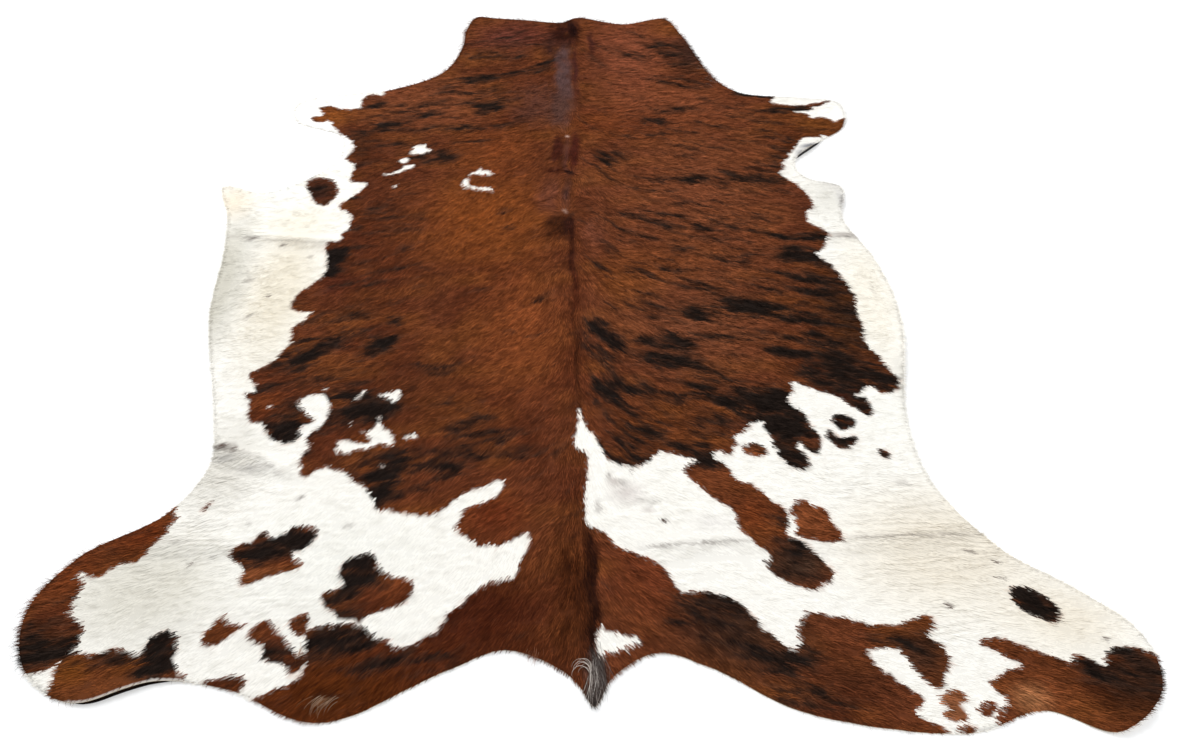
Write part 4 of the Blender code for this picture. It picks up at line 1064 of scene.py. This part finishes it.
def grown(name, tree, settings, roots, headings, heights, sizes, colours, extra):
    """A piece of hair: the tree's strand on every root, made a plain mesh."""
    step = 2 * MM
    leaning = extra.get("unruly", 0)
    ground = [wrinkled(roots + offset) for offset in ((0, 0), (step, 0), (0, step))]
    slope_x, slope_y = ((height - ground[0]) / step for height in ground[1:])
    slope_x += TUFT_TILT * leaning * drift(roots / CM, TUFT_SIZE, 61)
    slope_y += TUFT_TILT * leaning * drift(roots / CM, TUFT_SIZE, 62)
    ups = np.column_stack((-slope_x, -slope_y, np.ones(len(roots))))
    lies = np.column_stack((headings, headings[:, 0] * slope_x + headings[:, 1] * slope_y))
    mesh = bpy.data.meshes.new(name)
    mesh.from_pydata(placed(roots, ground[0] + LEATHER_THICKNESS + heights), [], [])
    for label, kind, field, values in (
        ("heading", "FLOAT_VECTOR", "vector", lies), ("up", "FLOAT_VECTOR", "vector", ups),
        ("size", "FLOAT_VECTOR", "vector", sizes),
        ("coat", "FLOAT_COLOR", "color", np.column_stack((colours, np.ones(len(roots))))),
        *((label, "FLOAT", "value", values) for label, values in extra.items()),
    ):
        layer = mesh.attributes.new(label, kind, "POINT")
        layer.data.foreach_set(field, values.astype(np.float32).ravel())
    seedlings = bpy.data.objects.new(name + "_roots", mesh)
    bpy.context.scene.collection.objects.link(seedlings)
    growth = seedlings.modifiers.new("growth", "NODES")
    growth.node_group = tree
    for socket in tree.interface.items_tree:
        if socket.name in settings:
            growth[socket.identifier] = settings[socket.name]
    seen = seedlings.evaluated_get(bpy.context.evaluated_depsgraph_get())
    piece = bpy.data.objects.new(name, bpy.data.meshes.new_from_object(seen))
    bpy.context.scene.collection.objects.link(piece)
    bpy.data.objects.remove(seedlings)
    for label in ("heading", "up", "size", *extra):
        if label in piece.data.attributes:
            piece.data.attributes.remove(piece.data.attributes[label])
    return piece


LOCK_SETTINGS = {
    "Arch": 0.4, "Lift Angle": math.radians(5.0), "Lift Jitter": math.radians(3.5),
    "Yaw Jitter": math.radians(10), "Roll Jitter": math.radians(13), "Lowest": 0.3 * MM,
    "Seed": 41, "Material": hair,
}
# The locks are rooted on a shaken lattice, and all that varies among them is drawn once for all.
random = np.random.default_rng(7)
root_step = (2 / (LOCKS_PER_CM2 * 3**0.5)) ** 0.5 * CM
roots = lattice_inside(cut_edge, root_step, 0.5 * MM)
roots = roots + random.uniform(-0.5, 0.5, roots.shape) * root_step
rim_depth = depth_inside(roots, cut_edge, RIM_REACH * CM)
roots, rim_depth = roots[rim_depth > 0.3 * MM], rim_depth[rim_depth > 0.3 * MM] / CM
at_bare_edge = np.linalg.norm(roots / CM - np.array(BARE_EDGE), axis=1) < BARE_EDGE_REACH
covering = ~(at_bare_edge & (rim_depth < (BARE_WIDTH + BARE_EDGE_CLEAR) / CM))
roots, rim_depth = roots[covering], rim_depth[covering]
headings = hair_heading(roots / CM)
clump = combed_drift(roots / CM, headings, CLUMP_SIZE, 51)
finer_clump = combed_drift(roots / CM, headings, FINE_CLUMP_SIZE, 52)
lengths = LOCK_LENGTH * random.uniform(*LOCK_LENGTHS, len(roots))
lengths *= np.interp(rim_depth, (0, RIM_REACH), (RIM_SHORTER, 1))
for x, y, reach_x, reach_y, factor in LENGTHS:
    lengths *= 1 + (factor - 1) * np.clip(2 * softness(roots / CM, x, y, reach_x, reach_y), 0, 1)
# A lock takes the coat's colour from where its outer half lies, give or take a little, so that a
# mark keeps its place on the hair and its edge is frayed along the hair.
colour_reach = LOCK_COLOURED_AT * lengths / CM + LOCK_COLOUR_SHIFTS[0] * finer_clump
colour_reach += LOCK_COLOUR_SHIFTS[1] * random.normal(0, 1, len(roots))
colours, depth = coat_colour(roots / CM + headings * colour_reach[:, None])
is_white = depth <= 0
widths = LOCK_WIDTH * random.uniform(*LOCK_WIDTHS, len(roots)) * np.where(is_white, WHITE_WIDER, 1)
lock_tone, clump_tone, finer_tone = np.where(is_white[:, None], WHITE_TONES, BROWN_TONES).T
tone = lock_tone * random.normal(0, 1, len(roots)) + clump_tone * clump + finer_tone * finer_clump
colours = np.clip(colours * np.clip(1 + tone, 0.5, 1.6)[:, None], DARKEST_HAIR, PALEST_HAIR)
unruly = np.where(is_white, WHITE_UNRULY, 1.0)
heights = CLUMP_HEIGHT * clump * unruly * np.clip(rim_depth, 0, 1) - LOCK_SUNK
sizes = np.column_stack((lengths, widths, lengths * unruly))
for name, white, x0, y0, x1, y1 in HAIR_PIECES:
    past_first = (roots > np.array((x0, y0)) * CM).all(axis=1)
    short_of_last = (roots <= np.array((x1, y1)) * CM).all(axis=1)
    own = past_first & short_of_last & (is_white == white)
    piece = grown(name, lay_locks, LOCK_SETTINGS, roots[own], headings[own], heights[own], sizes[own],
                  colours[own], {"unruly": unruly[own]})
    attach(piece, "root")

# ---------------------------------------------------------------------------------------------
# The loose hairs. Longer ones hang from the tail stub, dark with some grey, with a few at the neck,
# rump and ham, and fine ones stand out from the cut edge all round. Each is one tapered strand.
# ---------------------------------------------------------------------------------------------
STRANDS = (
    # name, how many, x, y and half lengths in cm of the patch, length in cm, thickness in mm, bend
    # in radians, least and most curl, degrees from straight back, colours, slot
    ("dark_tail_hairs", 110, 1.5, -104.8, 1.7, 3.6, 4.8, 0.8, 0.8, -0.5, 0.5, 4,
     ("#38221a", "#544743", "#6f6661", "#8d847f"), "brown_coat"),
    ("grey_tail_hairs", 56, 0.7, -105.0, 1.2, 3.6, 5.2, 0.8, 0.9, -0.4, 0.4, 0,
     ("#b9aea6", "#8f837c", "#d6cdc4"), "white_coat"),
    ("tail_hook", 7, 0.2, -105.4, 0.4, 0.6, 4.8, 1.2, 3.1, 0.8, 1.0, 180,
     ("#d8cbc0", "#b5a79c"), "white_coat"),
    ("rump_tips", 26, -9.6, -102.0, 1.6, 1.4, 2.2, 0.6, 0.6, -0.5, 0.5, -10,
     ("#b07a5c", "#8a553c"), "brown_coat"),
    ("ham_curls", 26, -43.6, -109.0, 2.6, 0.9, 3.8, 0.5, 1.1, 0.2, 1.0, -55,
     ("#d9c2a8", "#b98f6c"), "white_coat"),
    ("neck_wisps", 70, 39.5, 77.0, 4.0, 9.0, 4.0, 0.6, 0.7, -0.3, 1.0, 48,
     ("#4a3129", "#6d5a51", "#8d7f77"), "brown_coat"),
    ("chain_tips", 9, -49.5, -100.6, 0.8, 1.2, 2.6, 0.6, 1.4, -1.0, 0.6, 0,
     ("#c79f7c", "#a87650"), "brown_coat"),
)
STRAND_POINTS = 12
STRAND_SPREAD = 0.4  # how the strands gather in their patch, as a share of its half lengths
STRAND_SWAY = 0.14  # how far their headings differ, in radians
RIM_HAIRS = 3200
RIM_HAIR_POINTS = 5
RIM_HAIR_LENGTH = 15 * MM
RIM_HAIR_THICKNESS = 0.55 * MM
NECK_RIM_FROM = (64, 72)  # the y in cm over which the rim's hair thickens towards the neck
NECK_RIM_THICKER = 2.2  # how many times as thick it grows there
SHAGGY_HEEL = (-97, -92)  # the left heel, where it grows up to twice as thick, in cm
SHAGGY_REACH = 24
RIM_LONGER = 0.7  # how much longer it is for being thicker
RIM_OUTWARD = 0.9  # how strongly it turns out over the edge
RIM_TANGLE = 0.5  # how far it strays from that

# One tree grows a strand on each root: a line bent into an arc, with a thin tapered tube round it.
grow_strands = bpy.data.node_groups.new("grow_strands", "GeometryNodeTree")
sockets = grow_strands.interface
sockets.new_socket("Roots", in_out="INPUT", socket_type="NodeSocketGeometry")
for name, kind in (("Points", "Int"), ("Bend", "Float"), ("Arch", "Float"), ("Thickness", "Float"),
                   ("Lowest", "Float"), ("Material", "Material")):
    sockets.new_socket(name, in_out="INPUT", socket_type="NodeSocket" + kind)
sockets.new_socket("Strands", in_out="OUTPUT", socket_type="NodeSocketGeometry")
given = add_node(grow_strands, "NodeGroupInput").outputs
straight = add_node(grow_strands, "GeometryNodeCurvePrimitiveLine", None, {"End": (1.0, 0.0, 0.0)})
dotted = add_node(grow_strands, "GeometryNodeResampleCurve", None, None,
                  {"Curve": straight.outputs[0], "Count": given["Points"]})
along = add_node(grow_strands, "GeometryNodeSplineParameter").outputs["Factor"]
angle = add_node(grow_strands, "ShaderNodeMath", {"operation": "MULTIPLY"}, None,
                 {0: along, 1: given["Bend"]})
sine = add_node(grow_strands, "ShaderNodeMath", {"operation": "SINE"}, None, {0: angle.outputs[0]})
cosine = add_node(grow_strands, "ShaderNodeMath", {"operation": "COSINE"}, None, {0: angle.outputs[0]})
swing = add_node(grow_strands, "ShaderNodeMath", {"operation": "SUBTRACT"}, {0: 1.0},
                 {1: cosine.outputs[0]})
ahead = add_node(grow_strands, "ShaderNodeMath", {"operation": "DIVIDE"}, None,
                 {0: sine.outputs[0], 1: given["Bend"]})
aside = add_node(grow_strands, "ShaderNodeMath", {"operation": "DIVIDE"}, None,
                 {0: swing.outputs[0], 1: given["Bend"]})
rest = add_node(grow_strands, "ShaderNodeMath", {"operation": "SUBTRACT"}, {0: 1.0}, {1: along})
hump = add_node(grow_strands, "ShaderNodeMath", {"operation": "MULTIPLY"}, None,
                {0: along, 1: rest.outputs[0]})
rise = add_node(grow_strands, "ShaderNodeMath", {"operation": "MULTIPLY"}, None,
                {0: hump.outputs[0], 1: given["Arch"]})
bent = add_node(grow_strands, "ShaderNodeCombineXYZ", None, None,
                {0: ahead.outputs[0], 1: aside.outputs[0], 2: rise.outputs[0]})
curled = add_node(grow_strands, "GeometryNodeSetPosition", None, None,
                  {"Geometry": dotted.outputs[0], "Position": bent.outputs[0]})
toned = add_node(grow_strands, "GeometryNodeStoreNamedAttribute",
                 {"data_type": "FLOAT", "domain": "POINT"}, {"Name": "to_tip"},
                 {"Geometry": curled.outputs[0], "Value": along})
root_size = add_node(grow_strands, "GeometryNodeInputNamedAttribute", {"data_type": "FLOAT_VECTOR"},
                     {"Name": "size"})
laid = add_node(grow_strands, "GeometryNodeInstanceOnPoints", None, None,
                {"Points": given["Roots"], "Instance": toned.outputs[0],
                 "Rotation": turned_along_hair(grow_strands), "Scale": root_size.outputs[0]})
whole = add_node(grow_strands, "GeometryNodeRealizeInstances", None, None, {0: laid.outputs[0]})
taper = add_node(grow_strands, "ShaderNodeMath", {"operation": "POWER"}, {1: 0.6}, {0: rest.outputs[0]})
thick = add_node(grow_strands, "ShaderNodeMath", {"operation": "MULTIPLY"}, None,
                 {0: taper.outputs[0], 1: given["Thickness"]})
ring = add_node(grow_strands, "GeometryNodeCurvePrimitiveCircle", None, {"Resolution": 3, "Radius": 0.5})
tubes = add_node(grow_strands, "GeometryNodeCurveToMesh", None, None,
                 {"Curve": kept_off_floor(grow_strands, whole.outputs[0], given["Lowest"]),
                  "Profile Curve": ring.outputs[0], "Scale": thick.outputs[0]})
coated = add_node(grow_strands, "GeometryNodeSetMaterial", None, None,
                  {"Geometry": tubes.outputs[0], "Material": given["Material"]})
add_node(grow_strands, "NodeGroupOutput", None, None, {0: coated.outputs[0]})

for row in STRANDS:
    name, count, x, y, reach_x, reach_y, length, thickness, bend, least, most, turn, shades, slot = row
    spread = random.normal(0, STRAND_SPREAD, (count, 2)) * np.array((reach_x, reach_y))
    roots = (np.array((x, y)) + spread) * CM
    roots = roots[depth_inside(roots, cut_edge, 1 * CM) > 1 * MM]
    turn = math.radians(turn) + random.normal(0, STRAND_SWAY, len(roots))
    headings = np.column_stack((np.sin(turn), -np.cos(turn)))
    lengths = length * CM * random.uniform(0.6, 1.15, len(roots))
    sizes = np.column_stack((lengths, lengths * random.uniform(least, most, len(roots)), lengths))
    colours = np.array([linear(shades[k]) for k in random.integers(0, len(shades), len(roots))])
    settings = {"Points": STRAND_POINTS, "Bend": bend, "Arch": 0.25, "Thickness": thickness * MM,
                "Lowest": 0.6 * MM, "Material": hair}
    heights = np.full(len(roots), 2 * MM)
    piece = grown(name, grow_strands, settings, roots, headings, heights, sizes, colours, {})
    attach(piece, "root")

# The rim's hairs, in two pieces by the colour of the hair that they grow from.
from_heel = np.linalg.norm(cut_edge / CM - np.array(SHAGGY_HEEL), axis=1)
furry = np.interp(cut_edge[:, 1] / CM, NECK_RIM_FROM, (1, NECK_RIM_THICKER))
furry *= 1 + bump(from_heel / SHAGGY_REACH)
where = random.choice(len(cut_edge), RIM_HAIRS, p=furry / furry.sum())
roots = cut_edge[where] - rim_out[where] * random.uniform(0.2, 0.9, RIM_HAIRS)[:, None] * CM
headings = hair_heading(roots / CM) + rim_out[where] * RIM_OUTWARD
headings += random.normal(0, RIM_TANGLE, roots.shape)
headings /= np.linalg.norm(headings, axis=1)[:, None]
lengths = RIM_HAIR_LENGTH * random.uniform(0.5, 1.2, RIM_HAIRS)
lengths *= 1 + (furry[where] - 1) * RIM_LONGER
sizes = np.column_stack((lengths, lengths * random.uniform(-1, 1, RIM_HAIRS), lengths))
settings = {"Points": RIM_HAIR_POINTS, "Bend": 1.1, "Arch": 0.5, "Thickness": RIM_HAIR_THICKNESS,
            "Lowest": 0.4 * MM, "Material": hair}
colours, depth = coat_colour(roots / CM)
for name, own, slot in (
    ("brown_rim_hairs", depth > 0, "brown_coat"),
    ("white_rim_hairs", depth <= 0, "white_coat"),
):
    piece = grown(name, grow_strands, settings, roots[own], headings[own], np.full(own.sum(), 1 * MM),
                  sizes[own], colours[own], {})
    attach(piece, "root")

# ---------------------------------------------------------------------------------------------
# The painted shadow under the edge. Where the edge curls up at the left heel and the right armpit, the
# gap under it is painted as a thin dark line on the floor. Each is one narrow ribbon.
# ---------------------------------------------------------------------------------------------
SHADOW_RIBBONS = (
    # name, x, y and reach in cm of the stretch of edge, how far past it the painted shadow shows in mm,
    # colour
    ("heel_under_hair", *BARE_EDGE, BARE_EDGE_REACH, 3.0, BRINDLE_AND_SHADOW_BLACK),
    ("armpit_shadow_ribbon", 62.4, 38.4, 7.6, 4.0, "#4c4a4b"),
)
SHADOW_RIBBON_TUCK = 3 * MM  # how far under the edge it starts
SHADOW_RIBBON_HEIGHT = 1.2 * MM

for name, x, y, reach, width, colour in SHADOW_RIBBONS:
    stretch = np.flatnonzero(np.linalg.norm(cut_edge / CM - np.array((x, y)), axis=1) < reach)
    fading = bump(np.linspace(-1, 1, len(stretch)) ** 3)[:, None]
    tucked = cut_edge[stretch] - rim_out[stretch] * SHADOW_RIBBON_TUCK
    shown = tucked + rim_out[stretch] * (SHADOW_RIBBON_TUCK + width * MM) * fading
    piece = bpy.data.objects.new(name, bpy.data.meshes.new(name))
    bpy.context.scene.collection.objects.link(piece)
    points = placed(np.vstack((tucked, shown)), np.full(2 * len(stretch), SHADOW_RIBBON_HEIGHT))
    faces = [(k, k + 1, k + 1 + len(stretch), k + len(stretch)) for k in range(len(stretch) - 1)]
    piece.data.from_pydata(points, [], faces)
    piece.data.materials.append(hair)
    layer = piece.data.color_attributes.new("coat", "FLOAT_COLOR", "POINT")
    layer.data.foreach_set("color", np.tile((*linear(colour), 1), len(points)))
    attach(piece, "root")

# The cut edge's x and y, in metres.
x, y = cut_edge.T

# ---------------------------------------------------------------------------------------------
# The floor, the light and the camera. The floor is plain and white, a large soft light stands to
# the left behind the neck and a wider one fills in from the right, and the camera looks down at the
# hide from over its tail end.
# ---------------------------------------------------------------------------------------------
IMAGE_WIDTH = 1187
FOCAL_LENGTH_PX = 930
SENSOR_WIDTH = 36.0
CAMERA_PLACE = (-0.008, -1.685, 1.53)  # metres from the spine, the back's middle and the floor
CAMERA_PITCH = 50.0  # degrees below the horizon
CAMERA_YAW = 1.39  # degrees to the right of the spine
FLOOR_REACH = 9.0  # metres
SKY_COLOUR = (0.95, 0.97, 1.0, 1)
SKY_STRENGTH = 0.62
LAMPS = (
    # name, place and size in metres, power in watts
    ("window_light", (-2.2, 2.6, 3.0), 2.2, 165.0),
    ("fill_light", (2.4, -1.6, 3.2), 3.2, 70.0),
)

floor = bpy.data.objects.new("floor", bpy.data.meshes.new("floor"))
bpy.context.scene.collection.objects.link(floor)
corners = [(x * FLOOR_REACH, y * FLOOR_REACH, 0) for x, y in ((-1, -1), (1, -1), (1, 1), (-1, 1))]
floor.data.from_pydata(corners, [], [(0, 1, 2, 3)])
# Matt white floor paint, which scatters the light evenly and mirrors nothing.
paint, tree, shader = new_material("matt_white_floor")
shader.inputs["Base Color"].default_value = (*linear("#f8f8f7"), 1)
shader.inputs["Roughness"].default_value = 0.9
floor.data.materials.append(paint)

world = bpy.data.worlds.new("studio")
bpy.context.scene.world = world
world.use_nodes = True
world.node_tree.nodes["Background"].inputs["Color"].default_value = SKY_COLOUR
world.node_tree.nodes["Background"].inputs["Strength"].default_value = SKY_STRENGTH
for name, place, size, power in LAMPS:
    light = bpy.data.lights.new(name, "AREA")
    light.shape = "SQUARE"
    light.size = size
    light.energy = power
    lamp = bpy.data.objects.new(name, light)
    bpy.context.scene.collection.objects.link(lamp)
    lamp.location = place
    lamp.rotation_euler = (-Vector(place)).to_track_quat("-Z", "Y").to_euler()

camera = bpy.data.objects.new("camera", bpy.data.cameras.new("camera"))
bpy.context.scene.collection.objects.link(camera)
camera.location = (CAMERA_PLACE[0] - middle[0], CAMERA_PLACE[1] - middle[1], CAMERA_PLACE[2])
camera.rotation_euler = (math.radians(90 - CAMERA_PITCH), 0, math.radians(-CAMERA_YAW))
camera.data.sensor_width = SENSOR_WIDTH
camera.data.lens = FOCAL_LENGTH_PX / IMAGE_WIDTH * SENSOR_WIDTH
bpy.context.scene.camera = camera
bpy.context.scene.view_settings.view_transform = "Standard"
